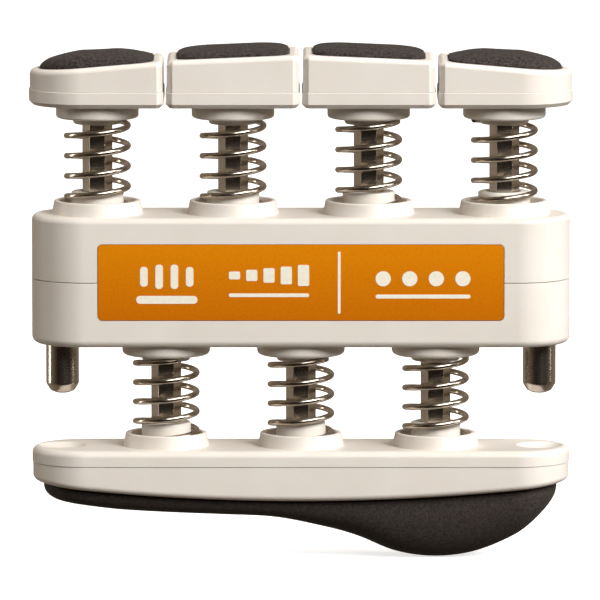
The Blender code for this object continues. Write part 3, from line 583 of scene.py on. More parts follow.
def white_ink():
    """Slightly warm white print."""
    recipe = Recipe("white_ink")
    recipe.set(IOR=1.5, Roughness=0.45)
    cloud = recipe.noise(scale=1500.0, detail=3.0)
    colour = recipe.ramp(cloud, low=(0.88, 0.83, 0.68), high=(0.95, 0.91, 0.79), start=0.3, end=0.7)
    recipe.connect("Base Color", colour)
    return recipe.material


def soft_foam(name, dark, light, gloss):
    """Matt, finely celled soft rubber."""
    recipe = Recipe(name)
    recipe.set(IOR=1.45, Specular_IOR_Level=gloss, Sheen_Weight=0.02, Sheen_Roughness=0.5)
    cloud = recipe.noise(scale=2600.0, detail=5.0, roughness=0.75)
    recipe.connect("Base Color", recipe.ramp(cloud, dark, light, start=0.41, end=0.59))
    wear = recipe.noise(scale=900.0, detail=3.0)
    recipe.connect("Roughness", recipe.spread(wear, low=0.62, high=0.82))
    pores = recipe.bump(recipe.cells(scale=4200.0), strength=0.35, distance=0.05 * MM)
    grain = recipe.noise(scale=7000.0, detail=3.0)
    recipe.connect("Normal", recipe.bump(grain, strength=0.35, distance=0.03 * MM, after=pores))
    return recipe.material


def plated_steel(name, colour, low_rough, high_rough, stretch):
    """Plated steel with fine drawn lines, longer along the axes whose stretch is small."""
    recipe = Recipe(name)
    recipe.set(Metallic=1.0)
    duller = tuple(value * DULLING for value in colour)
    cloud = recipe.noise(scale=300.0, detail=4.0, roughness=0.6, stretch=stretch)
    recipe.connect("Base Color", recipe.ramp(cloud, low=duller, high=colour, start=0.3, end=0.7))
    lines = recipe.noise(scale=1200.0, detail=4.0, roughness=0.7, stretch=stretch)
    recipe.connect("Roughness", recipe.spread(lines, low_rough, high_rough))
    recipe.connect("Normal", recipe.bump(lines, strength=0.25, distance=0.02 * MM))
    return recipe.material


ALONG_Z = (1.0, 1.0, 0.08)
EVEN = (1.0, 1.0, 1.0)
IVORY = ivory_plastic()
ORANGE = orange_label()
INK = white_ink()
FINGER_FOAM = soft_foam("finger_foam", dark=(0.018, 0.013, 0.011), light=(0.064, 0.052, 0.046), gloss=0.15)
PALM_FOAM = soft_foam("palm_foam", dark=(0.024, 0.018, 0.015), light=(0.050, 0.040, 0.034), gloss=0.36)
NICKEL = plated_steel("nickel_plate", (0.70, 0.64, 0.56), 0.16, 0.27, ALONG_Z)
WIRE_STEEL = plated_steel("spring_wire", (0.58, 0.51, 0.43), 0.16, 0.28, EVEN)
ZINC = plated_steel("zinc_plate", (0.60, 0.60, 0.62), 0.30, 0.45, EVEN)

# ---------------------------------------------------------------- shared profiles


def seat_ring(base, radius, groove_radius, x):
    """Raised ring of a spring seat, tapered outside, with soft lips."""
    return lathe("ring", [
        (radius, base - EMBED, 0.0),
        (radius, base, 0.0),
        (radius - SEAT_TAPER, base + SEAT_HEIGHT, SEAT_LIP),
        (groove_radius, base + SEAT_HEIGHT, SEAT_LIP),
        (groove_radius, base - EMBED, 0.0),
    ], x)


def seat_hub(radius, top, step, end, x):
    """Hub of a spring seat, which narrows to a guide tube under the face."""
    return lathe("hub", [
        (0.0, end, 0.0),
        (GUIDE_RADIUS, end, 0.0),
        (GUIDE_RADIUS, step + GAP, 0.0),
        (radius, step + GAP, 0.0),
        (radius, top, GAP),
        (0.0, top, 0.0),
    ], x)


def collar(face, radius, height, edge, x):
    """Collar under a face, with the boss that centres the spring."""
    low = face - height
    return lathe("collar", [
        (0.0, low - BOSS_HEIGHT, 0.0),
        (BOSS_RADIUS - GAP, low - BOSS_HEIGHT, GAP),
        (BOSS_RADIUS, low, 0.0),
        (radius, low, edge),
        (radius, face + EMBED, 0.0),
        (0.0, face + EMBED, 0.0),
    ], x)


def label_outline(margin):
    """XZ outline of the label, grown by a margin."""
    low_x, high_x = label_low.x - margin, label_high.x + margin
    low_z, high_z = label_low.z - margin, label_high.z + margin
    radius = LABEL_CORNER + margin
    corners = ((high_x, low_z), (high_x, high_z), (low_x, high_z), (low_x, low_z))
    return rounded([(x, z, radius) for x, z in corners], SMALL_ARC_FACETS)


def label_pocket():
    """Shallow pocket for the label."""
    return upright("pocket", label_outline(LABEL_GAP), -DEPTH / 2 - REACH_OUT, label_high.y + GAP)


# ---------------------------------------------------------------- housing


def make_housing_upper():
    """Upper half with four spring seats, guide tubes and pin bosses."""
    low = PARTING + PARTING_SEAM / 2
    shell = prism(
        "housing_top_shell",
        stadium(LENGTH, DEPTH),
        low,
        HOUSING_TOP,
        low_edge=SEAM_EDGE,
        high_edge=HOUSING_TOP_EDGE,
    )
    ceiling = HOUSING_TOP - WALL
    hollow = prism("hollow", stadium(LENGTH - 2 * WALL, DEPTH - 2 * WALL), low - REACH_OUT, ceiling)
    combine(shell, "DIFFERENCE", [hollow])
    guide_end = HOUSING_TOP - FINGER_GUIDE_LENGTH
    hub_top = HOUSING_TOP + FINGER_HUB_HEIGHT
    added = []
    removed = [label_pocket()]
    for x in FINGER_X:
        added.append(seat_ring(HOUSING_TOP, FINGER_SEAT_RADIUS, FINGER_GROOVE_RADIUS, x))
        added.append(seat_hub(FINGER_HUB_RADIUS, hub_top, HOUSING_TOP - EMBED, guide_end, x))
        removed.append(rod("bore", SHAFT_BORE, guide_end - GAP, hub_top + GAP, x))
    boss_end = HOUSING_BOTTOM + WALL + PIN_SEAT_RISE + GAP
    hole_top = HOUSING_BOTTOM + PIN_SHOULDER_RISE + PIN_SHANK_LENGTH + GAP
    for x in PIN_X:
        added.append(rod("boss", PIN_BOSS_RADIUS, boss_end, ceiling + EMBED, x, INNER_FACETS))
        removed.append(rod("hole", PIN_SHANK_RADIUS + GAP, boss_end - GAP, hole_top, x, HOLE_FACETS))
    combine(shell, "UNION", added)
    combine(shell, "DIFFERENCE", removed)
    shade(shell)
    settle(shell, "housing", "housing_upper", IVORY)


def make_housing_lower():
    """Lower half with three collars, guide tubes, pin seats and tongues."""
    high = PARTING - PARTING_SEAM / 2
    shell = prism(
        "housing_bottom_shell",
        stadium(LENGTH, DEPTH),
        HOUSING_BOTTOM,
        high,
        low_edge=HOUSING_BOTTOM_EDGE,
        high_edge=SEAM_EDGE,
        facets=RIM_FACETS,
    )
    floor = HOUSING_BOTTOM + WALL
    hollow = prism("hollow", stadium(LENGTH - 2 * WALL, DEPTH - 2 * WALL), floor, high + REACH_OUT)
    combine(shell, "DIFFERENCE", [hollow])
    guide_end = HOUSING_BOTTOM + PALM_GUIDE_LENGTH
    collar_end = HOUSING_BOTTOM - COLLAR_HEIGHT - BOSS_HEIGHT
    seat_top = floor + PIN_SEAT_RISE
    shoulder = HOUSING_BOTTOM + PIN_SHOULDER_RISE + GAP
    added = tongues()
    removed = [label_pocket()]
    for x in PALM_X:
        added.append(collar(HOUSING_BOTTOM, PALM_COLLAR_RADIUS, COLLAR_HEIGHT, PALM_COLLAR_EDGE, x))
        added.append(rod("guide", GUIDE_RADIUS, floor - EMBED, guide_end, x, INNER_FACETS))
        removed.append(rod("bore", SHAFT_BORE, collar_end - GAP, guide_end + GAP, x))
    for x in PIN_X:
        added.append(rod("seat", PIN_SEAT_RADIUS, floor - EMBED, seat_top, x, INNER_FACETS))
        removed.append(lathe("hole", [
            (0.0, HOUSING_BOTTOM - GAP, 0.0),
            (PIN_RADIUS + GAP, HOUSING_BOTTOM - GAP, 0.0),
            (PIN_RADIUS + GAP, shoulder, 0.0),
            (PIN_SHANK_RADIUS + GAP, shoulder, 0.0),
            (PIN_SHANK_RADIUS + GAP, seat_top + GAP, 0.0),
            (0.0, seat_top + GAP, 0.0),
        ], x))
    combine(shell, "UNION", added)
    combine(shell, "DIFFERENCE", removed)
    shade(shell)
    settle(shell, "housing", "housing_lower", IVORY)


def tongues():
    """Ribs along both long walls that stand up into the upper half."""
    half = TONGUE_LENGTH / 2
    outer = DEPTH / 2 - WALL - GAP
    inner = outer - TONGUE_THICKNESS
    low = PARTING - TONGUE_FOOT
    ribs = []
    for sign in (-1, 1):
        near, far = sorted((sign * inner, sign * outer))
        ribs.append(box("tongue", (-half, near, low + GAP), (half, far, PARTING + TONGUE_RISE)))
        near, far = sorted((sign * (inner + GAP), sign * (outer + 2 * GAP)))
        ribs.append(box("foot", (-half - GAP, near, low), (half + GAP, far, PARTING - 2 * SEAM)))
    return ribs


def make_guide_pins():
    """Steel pins with a rounded nose and a centre dimple."""
    for side, x in zip(("left", "right"), PIN_X):
        low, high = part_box(f"guide_pin_{side}")
        shoulder = HOUSING_BOTTOM + PIN_SHOULDER_RISE
        break_radius = PIN_TIP_RADIUS + PIN_BREAK_SHARE * (PIN_RADIUS - PIN_TIP_RADIUS)
        pin = lathe(f"pin_{side}", [
            (0.0, low.z + PIN_DIMPLE_DEPTH, 0.0),
            (PIN_DIMPLE_RADIUS, low.z + PIN_FLARE_RISE, 0.0),
            (PIN_DIMPLE_RADIUS + PIN_FLARE, low.z, PIN_FLARE_ROUND),
            (PIN_TIP_RADIUS, low.z, PIN_TIP_ROUND),
            (break_radius, low.z + PIN_BREAK_RISE, PIN_BREAK_ROUND),
            (PIN_RADIUS, low.z + PIN_NOSE, PIN_SIDE_ROUND),
            (PIN_RADIUS, shoulder, PIN_SHOULDER_ROUND),
            (PIN_SHANK_RADIUS, shoulder, 0.0),
            (PIN_SHANK_RADIUS, high.z, GAP),
            (0.0, high.z, 0.0),
        ], x)
        shade(pin, STEEL_SHARP_ANGLE)
        settle(pin, "housing", f"guide_pin_{side}", NICKEL)


# ---------------------------------------------------------------- label

INK_THICKNESS = 0.03 * MM
LABEL_MIDDLE = (label_low.z + label_high.z) / 2

# Single marks in mm: X, Z from the label's middle, width, height and corner radius
DIVIDER = (5.77, 0.0, 0.42, 9.4, 0.1)
HAND_RULE = (-20.2, -2.6, 9.2, 1.2, 0.55)
SCALE_RULE = (-4.8, -1.9, 12.1, 0.55, 0.25)
DOT_RULE = (18.4, -2.1, 14.3, 0.6, 0.28)

# Rows of marks in mm: X of the first, pitch, Z from the label's middle, width, height of each, corner radius
HAND_ROW = (-23.65, 2.3, 0.9, 1.15, (3.0, 3.7, 3.7, 3.0), 0.5)
SCALE_ROW = (-10.0, 2.6, 1.1, 1.7, (1.2, 1.7, 2.2, 2.7, 3.2), 0.25)
DOT_ROW = (12.4, 4.0, 0.6, 2.3, (2.3, 2.3, 2.3, 2.3), 1.149)


def bar_mark(x, z, width, height, radius):
    """Outline of a rounded bar round a centre, from sizes in mm."""
    corners = ((1, -1), (1, 1), (-1, 1), (-1, -1))
    return rounded([
        ((x + side * width / 2) * MM, LABEL_MIDDLE + (z + rise * height / 2) * MM, radius * MM)
        for side, rise in corners
    ], SMALL_ARC_FACETS)


def row_marks(first, pitch, z, width, heights, radius):
    """Outlines of a row of bars of one width, from sizes in mm."""
    return [bar_mark(first + index * pitch, z, width, height, radius) for index, height in enumerate(heights)]


def label_marks():
    """Outlines of the printed marks: a divider, then fingers, a tension scale and dots over rules."""
    marks = [bar_mark(*DIVIDER)]
    for row, rule in ((HAND_ROW, HAND_RULE), (SCALE_ROW, SCALE_RULE), (DOT_ROW, DOT_RULE)):
        marks += row_marks(*row)
        marks.append(bar_mark(*rule))
    return marks


def make_label():
    """Orange panel and the white marks printed on it."""
    panel = upright("label_panel", label_outline(0.0), label_low.y, label_high.y, LABEL_EDGE)
    shade(panel)
    settle(panel, "housing", "label_front", ORANGE)
    front = label_low.y
    for number, outline in enumerate(label_marks(), 1):
        mark = upright(f"label_mark_{number}", outline, front - INK_THICKNESS, front + INK_THICKNESS)
        mark.data.materials.append(INK)
        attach(mark, "housing")


# ---------------------------------------------------------------- springs and shafts


def make_spring(name, node, coil_pitch, start, x):
    """Round-wire spring coiled through the box of its CAD node, attached to the housing."""
    low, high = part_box(node)
    bottom = low.z + WIRE / 2
    top = high.z - WIRE / 2
    turns = (top - bottom) / coil_pitch
    count = round(turns * COIL_STEPS)
    curve = bpy.data.curves.new(name, "CURVE")
    curve.dimensions = "3D"
    curve.bevel_depth = WIRE / 2
    curve.bevel_resolution = WIRE_FACETS
    curve.use_fill_caps = True
    spline = curve.splines.new("POLY")
    spline.points.add(count)
    for step in range(count + 1):
        share = step / count
        angle = math.radians(start) + 2 * math.pi * turns * share
        z = bottom + (top - bottom) * share
        across, back = COIL_RADIUS * math.cos(angle), COIL_RADIUS * math.sin(angle)
        spline.points[step].co = (x + across, back, z, 1.0)
    guide = bpy.data.objects.new(name + "_guide", curve)
    bpy.context.scene.collection.objects.link(guide)
    mesh = bpy.data.meshes.new_from_object(guide.evaluated_get(bpy.context.evaluated_depsgraph_get()))
    bpy.data.objects.remove(guide, do_unlink=True)
    shape = bmesh.new()
    shape.from_mesh(mesh)
    coil = to_object(name, shape)
    shade(coil, WIRE_SHARP_ANGLE)
    settle(coil, "housing", node, WIRE_STEEL)
    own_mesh(coil)


def make_shaft(name, node, body, groove_low, hole_low, hole_high, x):
    """Hexagonal shaft with rounded corners, its clip groove and its screw hole."""
    low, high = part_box(node)
    bar = hexagon(name, SHAFT_ACROSS_FLATS, low.z, high.z, x, SHAFT_EDGE)
    groove = lathe("groove", [
        (GROOVE_CORE, groove_low, 0.0),
        (SHAFT_BORE, groove_low, 0.0),
        (SHAFT_BORE, groove_low + GROOVE_HEIGHT, 0.0),
        (GROOVE_CORE, groove_low + GROOVE_HEIGHT, 0.0),
    ], x, HOLE_FACETS)
    hole = rod("hole", SCREW_RADIUS + GAP, hole_low, hole_high, x, HOLE_FACETS)
    combine(bar, "DIFFERENCE", [groove, hole])
    shade(bar, STEEL_SHARP_ANGLE)
    settle(bar, body, node, NICKEL)


# ---------------------------------------------------------------- fingers


def cap_plan(inset, outward):
    """Plan of a cap about its shaft: chamfered corners, and a round outer end on the end caps."""
    half = DEPTH / 2 - inset
    inner = PLATE_REACH - inset
    outer = END_REACH - inset
    corner = max(CAP_CORNER - (2 - math.sqrt(2)) * inset, SMALLEST_CORNER)
    softness = max(CAP_SOFTNESS - inset, SMALLEST_ROUND)
    corners = []
    for side in (1, -1):
        if side == outward:
            corners += [(side * outer, -side * half, half), (side * outer, side * half, half)]
        else:
            corners += [
                (side * (inner - corner), -side * half, softness),
                (side * inner, -side * (half - corner), softness),
                (side * inner, side * (half - corner), softness),
                (side * (inner - corner), side * half, softness),
            ]
    return rounded(corners)


def pad_plan(inset, outward):
    """Plan of a finger pad, the cap's outline with softly rounded corners."""
    half = DEPTH / 2 - inset
    corner = max(FINGER_PAD_CORNER + FINGER_PAD_MARGIN - inset, PAD_LEAST_CORNER)
    corners = []
    for side in (1, -1):
        reach, radius = (END_REACH, half) if side == outward else (PLATE_REACH, corner)
        end = side * (reach - inset)
        corners += [(end, -side * half, radius), (end, side * half, radius)]
    return rounded(corners)


def make_finger(number, x):
    """Base plate, cap shell, pad and shaft of one finger."""
    outward = {1: -1, len(FINGERS): 1}.get(number, 0)
    inward = 1 if x < 0 else -1
    body = f"finger_{number}"
    gradient = inward * (END_CAP_SLOPE if outward else MIDDLE_CAP_SLOPE)
    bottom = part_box(f"finger_{number}_base_plate")[0].z + FINGER_COLLAR_HEIGHT + BOSS_HEIGHT
    plate_top = bottom + PLATE_HEIGHT
    cap_top = bottom + (END_CAP_RISE if outward else MIDDLE_CAP_RISE)

    def plan(inset):
        return cap_plan(inset, outward)

    plate = rimmed(
        f"{body}_plate",
        plan,
        bottom,
        plate_top,
        x,
        low_edge=PLATE_EDGE,
        high_edge=PLATE_TOP_EDGE,
        low_facets=1,
        high_facets=3,
    )
    under = collar(bottom, FINGER_COLLAR_RADIUS, FINGER_COLLAR_HEIGHT, FINGER_COLLAR_EDGE, x)
    combine(plate, "UNION", [under])
    socket_top = plate_top - SOCKET_WEB
    collar_end = bottom - FINGER_COLLAR_HEIGHT - BOSS_HEIGHT
    socket = hexagon("socket", SHAFT_ACROSS_FLATS + 2 * SEAM, collar_end - GAP, socket_top, x)
    screw_hole = rod("hole", SCREW_RADIUS + GAP, socket_top - GAP, plate_top + GAP, x, HOLE_FACETS)
    combine(plate, "DIFFERENCE", [socket, screw_hole])
    shade(plate)
    settle(plate, body, f"finger_{number}_base_plate", IVORY)

    low = plate_top + CAP_SEAM
    cap = rimmed(
        f"{body}_shell",
        lambda inset: plan(CAP_INSET + inset),
        low,
        cap_top,
        x,
        gradient,
        low_edge=SEAM_EDGE,
        high_edge=CAP_EDGE,
    )
    hollow_top = cap_top - PAD_SINK - CAP_WALL + GAP
    hollow = prism("hollow", plan(CAP_WALL), low - GAP, hollow_top, x, high_slope=gradient)
    recess = prism(
        "recess",
        pad_plan(FINGER_PAD_MARGIN - SEAM, outward),
        cap_top - PAD_SINK,
        cap_top + REACH_OUT,
        x,
        low_slope=gradient,
        high_slope=gradient,
    )
    combine(cap, "DIFFERENCE", [hollow, recess])
    shade(cap)
    settle(cap, body, f"finger_{number}_cap", IVORY)

    make_finger_pad(number, x, outward, gradient, cap_top)
    guide_end = HOUSING_TOP - FINGER_GUIDE_LENGTH
    shaft_top = socket_top - GAP
    make_shaft(
        f"{body}_hex_shaft",
        f"finger_{number}_shaft",
        body,
        guide_end - GROOVE_HEIGHT,
        plate_top - SCREW_LENGTH - GAP,
        shaft_top + GAP,
        x,
    )


def dome(share, roundness):
    """Rise of a rounded edge, from 0 at its rim to 1 at its end. A roundness of 2 is circular."""
    share = min(max(share, 0.0), 1.0)
    return (1.0 - (1.0 - share) ** roundness) ** (1.0 / roundness)


def make_finger_pad(number, x, outward, gradient, cap_top):
    """Crowned foam pad set into the cap, its rim rounded over and its top slightly domed."""
    rise, radius = (END_PAD_RISE, END_PAD_DOME) if outward else (MIDDLE_PAD_RISE, MIDDLE_PAD_DOME)
    levelling = math.copysign(END_PAD_LEVELLING, gradient) if outward else 0.0
    least = PAD_SIDE + PAD_LEAST_CROWN
    floor = cap_top - PAD_SINK + SEAM
    deepest = (DEPTH / 2 - FINGER_PAD_MARGIN) * PAD_CLOSING_SHARE
    rings = [[(px + x, py, floor + gradient * px) for px, py in pad_plan(FINGER_PAD_MARGIN, outward)]]
    for step in range(PAD_RINGS + 1):
        inset = deepest * (step / PAD_RINGS) ** PAD_CROWDING
        ring = []
        for px, py in pad_plan(FINGER_PAD_MARGIN + inset, outward):
            spare = rise - (px ** 2 + py ** 2) / (2 * radius) - levelling * px - least
            crown_rise = least + (spare + math.hypot(spare, PAD_DOME_BLEND)) / 2
            height = cap_top + PAD_SIDE + (crown_rise - PAD_SIDE) * dome(inset / PAD_ROLL, PAD_ROUNDNESS)
            ring.append((px + x, py, height + gradient * px))
        rings.append(ring)
    pad = skin(f"finger_{number}_foam", rings)
    shade(pad, PAD_SHARP_ANGLE)
    settle(pad, f"finger_{number}", f"finger_{number}_pad", FINGER_FOAM)


# ---------------------------------------------------------------- palm bar


def crown(x):
    """Height of the palm bar's curved underside."""
    rise = BAR_CROWN_RADIUS - math.sqrt(BAR_CROWN_RADIUS ** 2 - x ** 2)
    return BAR_TOP - BAR_CROWN_DROP + rise


def even_stadium(left, right, half, inset):
    """Stadium outline that keeps its number of points at any inset, with points along its straights."""
    radius = max(half - inset, 0.0)
    points = []
    for side, centre, other in ((1, right - half, left + half), (-1, left + half, right - half)):
        for step in range(STADIUM_ARC_STEPS + 1):
            angle = -math.pi / 2 + math.pi * step / STADIUM_ARC_STEPS
            points.append((centre + side * radius * math.cos(angle), side * radius * math.sin(angle)))
        for step in range(1, STADIUM_STRAIGHT_STEPS):
            share = step / STADIUM_STRAIGHT_STEPS
            points.append((centre + (other - centre) * share, side * radius))
    return points


def make_bar_upper():
    """Upper plate of the palm bar with its spring seats and dishes."""
    seam = BAR_TOP - BAR_PLATE
    plate = prism(
        "bar_plate",
        stadium(LENGTH, DEPTH),
        seam + BAR_SEAM / 2,
        BAR_TOP,
        low_edge=SEAM_EDGE,
        high_edge=BAR_EDGE,
        facets=6,
    )
    hub_top = BAR_TOP + PALM_HUB_HEIGHT
    boss_end = seam - BAR_BOSS_DROP
    socket_low = boss_end + SOCKET_WEB
    added = []
    removed = []
    for x in PALM_X:
        added.append(seat_ring(BAR_TOP, PALM_SEAT_RADIUS, PALM_GROOVE_RADIUS, x))
        added.append(seat_hub(PALM_HUB_RADIUS, hub_top, BAR_TOP - EMBED, boss_end, x))
        removed.append(hexagon("socket", SHAFT_ACROSS_FLATS + 2 * SEAM, socket_low, hub_top + GAP, x))
        removed.append(rod("hole", SCREW_RADIUS + GAP, boss_end - GAP, socket_low + GAP, x, HOLE_FACETS))
    ball = (DISH_RADIUS ** 2 + DISH_DEPTH ** 2) / (2 * DISH_DEPTH)
    for x in PIN_X:
        shape = bmesh.new()
        bmesh.ops.create_uvsphere(shape, u_segments=TURN_FACETS, v_segments=DISH_FACETS, radius=ball)
        bmesh.ops.translate(shape, verts=shape.verts, vec=(x, 0.0, BAR_TOP + ball - DISH_DEPTH))
        removed.append(to_object("dish", shape))
    combine(plate, "UNION", added)
    combine(plate, "DIFFERENCE", removed)
    shade(plate, BAR_SHARP_ANGLE)
    settle(plate, "palm_bar", "palm_bar_upper", IVORY)


def make_bar_lower():
    """Hollow lower shell with a crowned underside and a soft lower edge."""
    left, right = tray_low.x, tray_high.x
    half = (tray_high.y - tray_low.y) / 2
    top = BAR_TOP - BAR_PLATE - BAR_SEAM / 2
    edge = BAR_LOWER_EDGE
    rim_break = RIM_BREAK_SHARE * SEAM_EDGE

    def flat_ring(inset, height):
        return [(x, y, height) for x, y in even_stadium(left, right, half, inset)]

    def curved_ring(inset, rise=0.0):
        return [(x, y, crown(x) + rise) for x, y in even_stadium(left, right, half, inset)]

    rings = []
    for step in range(BAR_INNER_STEPS, -1, -1):
        rings.append(curved_ring(WALL + (half - WALL) * step / BAR_INNER_STEPS, BAR_FLOOR))
    rings.append(flat_ring(WALL, top))
    rings.append(flat_ring(SEAM_EDGE, top))
    rings.append(flat_ring(rim_break, top - rim_break))
    rings.append(flat_ring(0.0, top - SEAM_EDGE))
    for step in range(RIM_FACETS + 1):
        angle = math.pi / 2 * step / RIM_FACETS
        rings.append(curved_ring(edge * (1 - math.cos(angle)), edge * (1 - math.sin(angle))))
    for step in range(1, BAR_OUTER_STEPS + 1):
        rings.append(curved_ring(edge + (half - edge) * step / BAR_OUTER_STEPS))
    tray = skin("bar_tray", rings, filled=False, weld=CLOSING_WELD)
    shade(tray, TRAY_SHARP_ANGLE)
    settle(tray, "palm_bar", "palm_bar_lower", IVORY)


# Full thickness of the palm pad along X, (x, thickness) in mm
PAD_THICKNESS = (
    (-39.5, 2.4), (-34.0, 2.4), (-28.0, 2.6), (-20.0, 2.5), (-12.0, 2.42), (-4.0, 2.65), (2.6, 4.05),
    (8.5, 5.87), (14.2, 8.4), (20.0, 9.55), (26.0, 9.3), (31.6, 7.6), (36.0, 5.3), (39.0, 3.4),
)


def smooth_value(table, x):
    """Value at x of a smooth curve through (x, value) points."""
    last = len(table) - 2
    index = max(0, min(last, sum(1 for place, _ in table if place <= x) - 1))
    x0, y0 = table[max(index - 1, 0)]
    x1, y1 = table[index]
    x2, y2 = table[index + 1]
    x3, y3 = table[min(index + 2, last + 1)]
    slope_1 = (y2 - y0) / (x2 - x0)
    slope_2 = (y3 - y1) / (x3 - x1)
    width = x2 - x1
    t = min(max((x - x1) / width, 0.0), 1.0)
    square, cube = t * t, t * t * t
    return (
        (2 * cube - 3 * square + 1) * y1
        + (cube - 2 * square + t) * width * slope_1
        + (3 * square - 2 * cube) * y2
        + (cube - square) * width * slope_2
    )


def make_palm_pad():
    """Foam pad that is thin on the left and swells to a bulb on the right."""
    left, right = palm_pad_low.x, palm_pad_high.x
    half = (palm_pad_high.y - palm_pad_low.y) / 2
    rings = []
    for step in range(PALM_PAD_RINGS, -1, -2):
        inset = half * step / PALM_PAD_RINGS
        rings.append([(x, y, crown(x) - GAP) for x, y in even_stadium(left, right, half, inset)])
    for step in range(1, PALM_PAD_RINGS + 1):
        inset = half * (step / PALM_PAD_RINGS) ** PALM_PAD_CROWDING
        ring = []
        for x, y in even_stadium(left, right, half, inset):
            thickness = smooth_value(PAD_THICKNESS, x / MM) * MM
            width = min(half, PALM_PAD_ROLL + thickness)
            ring.append((x, y, crown(x) - GAP - thickness * dome(inset / width, PALM_PAD_ROUNDNESS)))
        rings.append(ring)
    pad = skin("palm_foam_pad", rings, filled=False, weld=CLOSING_WELD)
    shade(pad, PAD_SHARP_ANGLE)
    settle(pad, "palm_bar", "palm_pad", PALM_FOAM)


# ---------------------------------------------------------------- build

make_housing_upper()
make_housing_lower()
make_guide_pins()
make_label()
for number, x, start in zip(FINGERS, FINGER_X, FINGER_COIL_STARTS):
    make_finger(number, x)
    make_spring(
        f"finger_{number}_coil",
        f"finger_{number}_spring",
        FINGER_PITCH_OF_COIL,
        start,
        x,
    )
make_bar_upper()
make_bar_lower()
make_palm_pad()
boss_face = BAR_TOP - BAR_PLATE - BAR_BOSS_DROP
for side, x, start in zip(PALM_SIDES, PALM_X, PALM_COIL_STARTS):
    shaft_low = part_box(f"palm_shaft_{side}")[0].z
    make_shaft(
        f"palm_hex_shaft_{side}",
        f"palm_shaft_{side}",
        "palm_bar",
        HOUSING_BOTTOM + PALM_GUIDE_LENGTH,
        shaft_low - GAP,
        boss_face + SCREW_LENGTH + GAP,
        x,
    )
    make_spring(
        f"palm_coil_{side}", f"palm_spring_{side}", PALM_PITCH_OF_COIL, start, x
    )
for name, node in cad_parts.items():
    if "clip" in name or "screw" in name:
        node.data.materials.clear()
        node.data.materials.append(ZINC)

# ---------------------------------------------------------------- stage, light and camera

FLOOR_SIZE = 8.0
FLOOR_DROP = 0.05 * MM
FLOOR_SHADE = 0.9
FLOOR_ROUGHNESS = 0.9
FLOOR_GLOW = 0.72
LOOK_AT = Vector((-0.13 * MM, 0.0, 39.0 * MM))
ELEVATION = math.radians(7.0)
DISTANCE = 1.64
LENS = 650.0
WORLD_LEAN = -0.15
WORLD_RANGE = (-1.0, 1.1)
WORLD_COLOURS = (
    (0.12, (0.016, 0.011, 0.008)),
    (0.42, (0.155, 0.12, 0.085)),
    (0.95, (0.30, 0.25, 0.20)),
)

# Name, turn toward +X and elevation in degrees, distance and size in metres, power in watts, colour
LIGHTS = (
    ("key", 48.0, 36.0, 1.3, (0.5, 0.5), 14.8, (1.0, 0.985, 0.965)),
    ("front", 20.0, 30.0, 1.3, (0.7, 0.5), 8.8, (1.0, 0.98, 0.95)),
    ("side", 80.0, 24.0, 1.3, (0.4, 0.5), 5.6, (0.93, 0.965, 1.0)),
    ("top", 190.0, 72.0, 1.0, (0.6, 0.5), 2.4, (0.97, 0.985, 1.0)),
    ("left_card", -100.0, 6.0, 0.9, (0.14, 0.7), 2.3, (1.0, 0.95, 0.88)),
    ("right_card", 84.0, 10.0, 0.9, (0.05, 0.5), 0.5, (1.0, 0.95, 0.88)),
)


def make_floor():
    """Pale studio floor that lights the object only a little."""
    bpy.ops.mesh.primitive_plane_add(size=FLOOR_SIZE, location=(0.0, 0.0, -FLOOR_DROP))
    floor = bpy.context.object
    floor.name = "studio_floor"
    material = bpy.data.materials.new("studio_floor")
    material.use_nodes = True
    shader = material.node_tree.nodes["Principled BSDF"]
    shader.inputs["Base Color"].default_value = (FLOOR_SHADE, FLOOR_SHADE, FLOOR_SHADE, 1.0)
    shader.inputs["Roughness"].default_value = FLOOR_ROUGHNESS
    shader.inputs["Emission Color"].default_value = (1.0, 1.0, 1.0, 1.0)
    shader.inputs["Emission Strength"].default_value = FLOOR_GLOW
    floor.data.materials.append(material)
    floor.visible_diffuse = False
    floor.visible_glossy = False


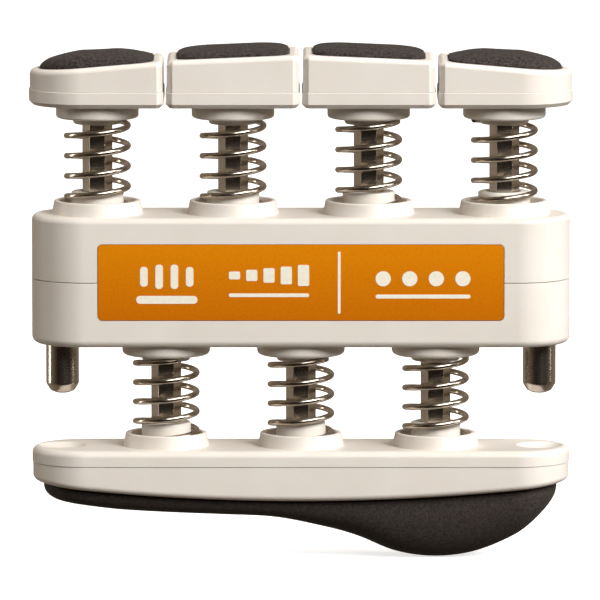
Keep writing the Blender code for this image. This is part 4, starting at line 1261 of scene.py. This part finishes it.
def make_light(name, turn, elevation, distance, size, power, colour):
    """Soft rectangular light aimed at the object, turned from the camera's side toward +X."""
    across, up = math.radians(turn), math.radians(elevation)
    reach = Vector((math.sin(across) * math.cos(up), -math.cos(across) * math.cos(up), math.sin(up)))
    data = bpy.data.lights.new(name, "AREA")
    data.shape = "RECTANGLE"
    data.size, data.size_y = size
    data.energy = power
    data.color = colour
    light = bpy.data.objects.new(name, data)
    light.location = LOOK_AT + reach * distance
    light.rotation_euler = (-reach).to_track_quat("-Z", "Y").to_euler()
    bpy.context.scene.collection.objects.link(light)


def make_world():
    """Dim warm room, darkest in front and lighter behind and to the left."""
    world = bpy.data.worlds.new("studio")
    world.use_nodes = True
    bpy.context.scene.world = world
    tree = world.node_tree
    background = tree.nodes["Background"]
    place = tree.nodes.new("ShaderNodeTexCoord").outputs["Generated"]
    parts = tree.nodes.new("ShaderNodeSeparateXYZ")
    tree.links.new(place, parts.inputs["Vector"])
    lean = tree.nodes.new("ShaderNodeMath")
    lean.operation = "MULTIPLY_ADD"
    lean.inputs[1].default_value = WORLD_LEAN
    tree.links.new(parts.outputs["X"], lean.inputs[0])
    tree.links.new(parts.outputs["Y"], lean.inputs[2])
    spread = tree.nodes.new("ShaderNodeMapRange")
    spread.inputs["From Min"].default_value = WORLD_RANGE[0]
    spread.inputs["From Max"].default_value = WORLD_RANGE[1]
    tree.links.new(lean.outputs["Value"], spread.inputs["Value"])
    ramp = tree.nodes.new("ShaderNodeValToRGB")
    ramp.color_ramp.elements.new(0.5)
    for element, (position, colour) in zip(ramp.color_ramp.elements, WORLD_COLOURS):
        element.position = position
        element.color = (*colour, 1.0)
    tree.links.new(spread.outputs["Result"], ramp.inputs["Fac"])
    tree.links.new(ramp.outputs["Color"], background.inputs["Color"])


def make_camera():
    """Long-lens camera, a little above the object and square to its front."""
    data = bpy.data.cameras.new("camera")
    data.lens = LENS
    data.clip_start = 0.05
    data.clip_end = 50.0
    camera = bpy.data.objects.new("camera", data)
    back = Vector((0.0, -math.cos(ELEVATION), math.sin(ELEVATION)))
    camera.location = LOOK_AT + back * DISTANCE
    camera.rotation_mode = "QUATERNION"
    camera.rotation_quaternion = (-back).to_track_quat("-Z", "Y")
    bpy.context.scene.collection.objects.link(camera)
    bpy.context.scene.camera = camera


make_floor()
for light in LIGHTS:
    make_light(*light)
make_world()
make_camera()
bpy.context.scene.view_settings.view_transform = "Standard"
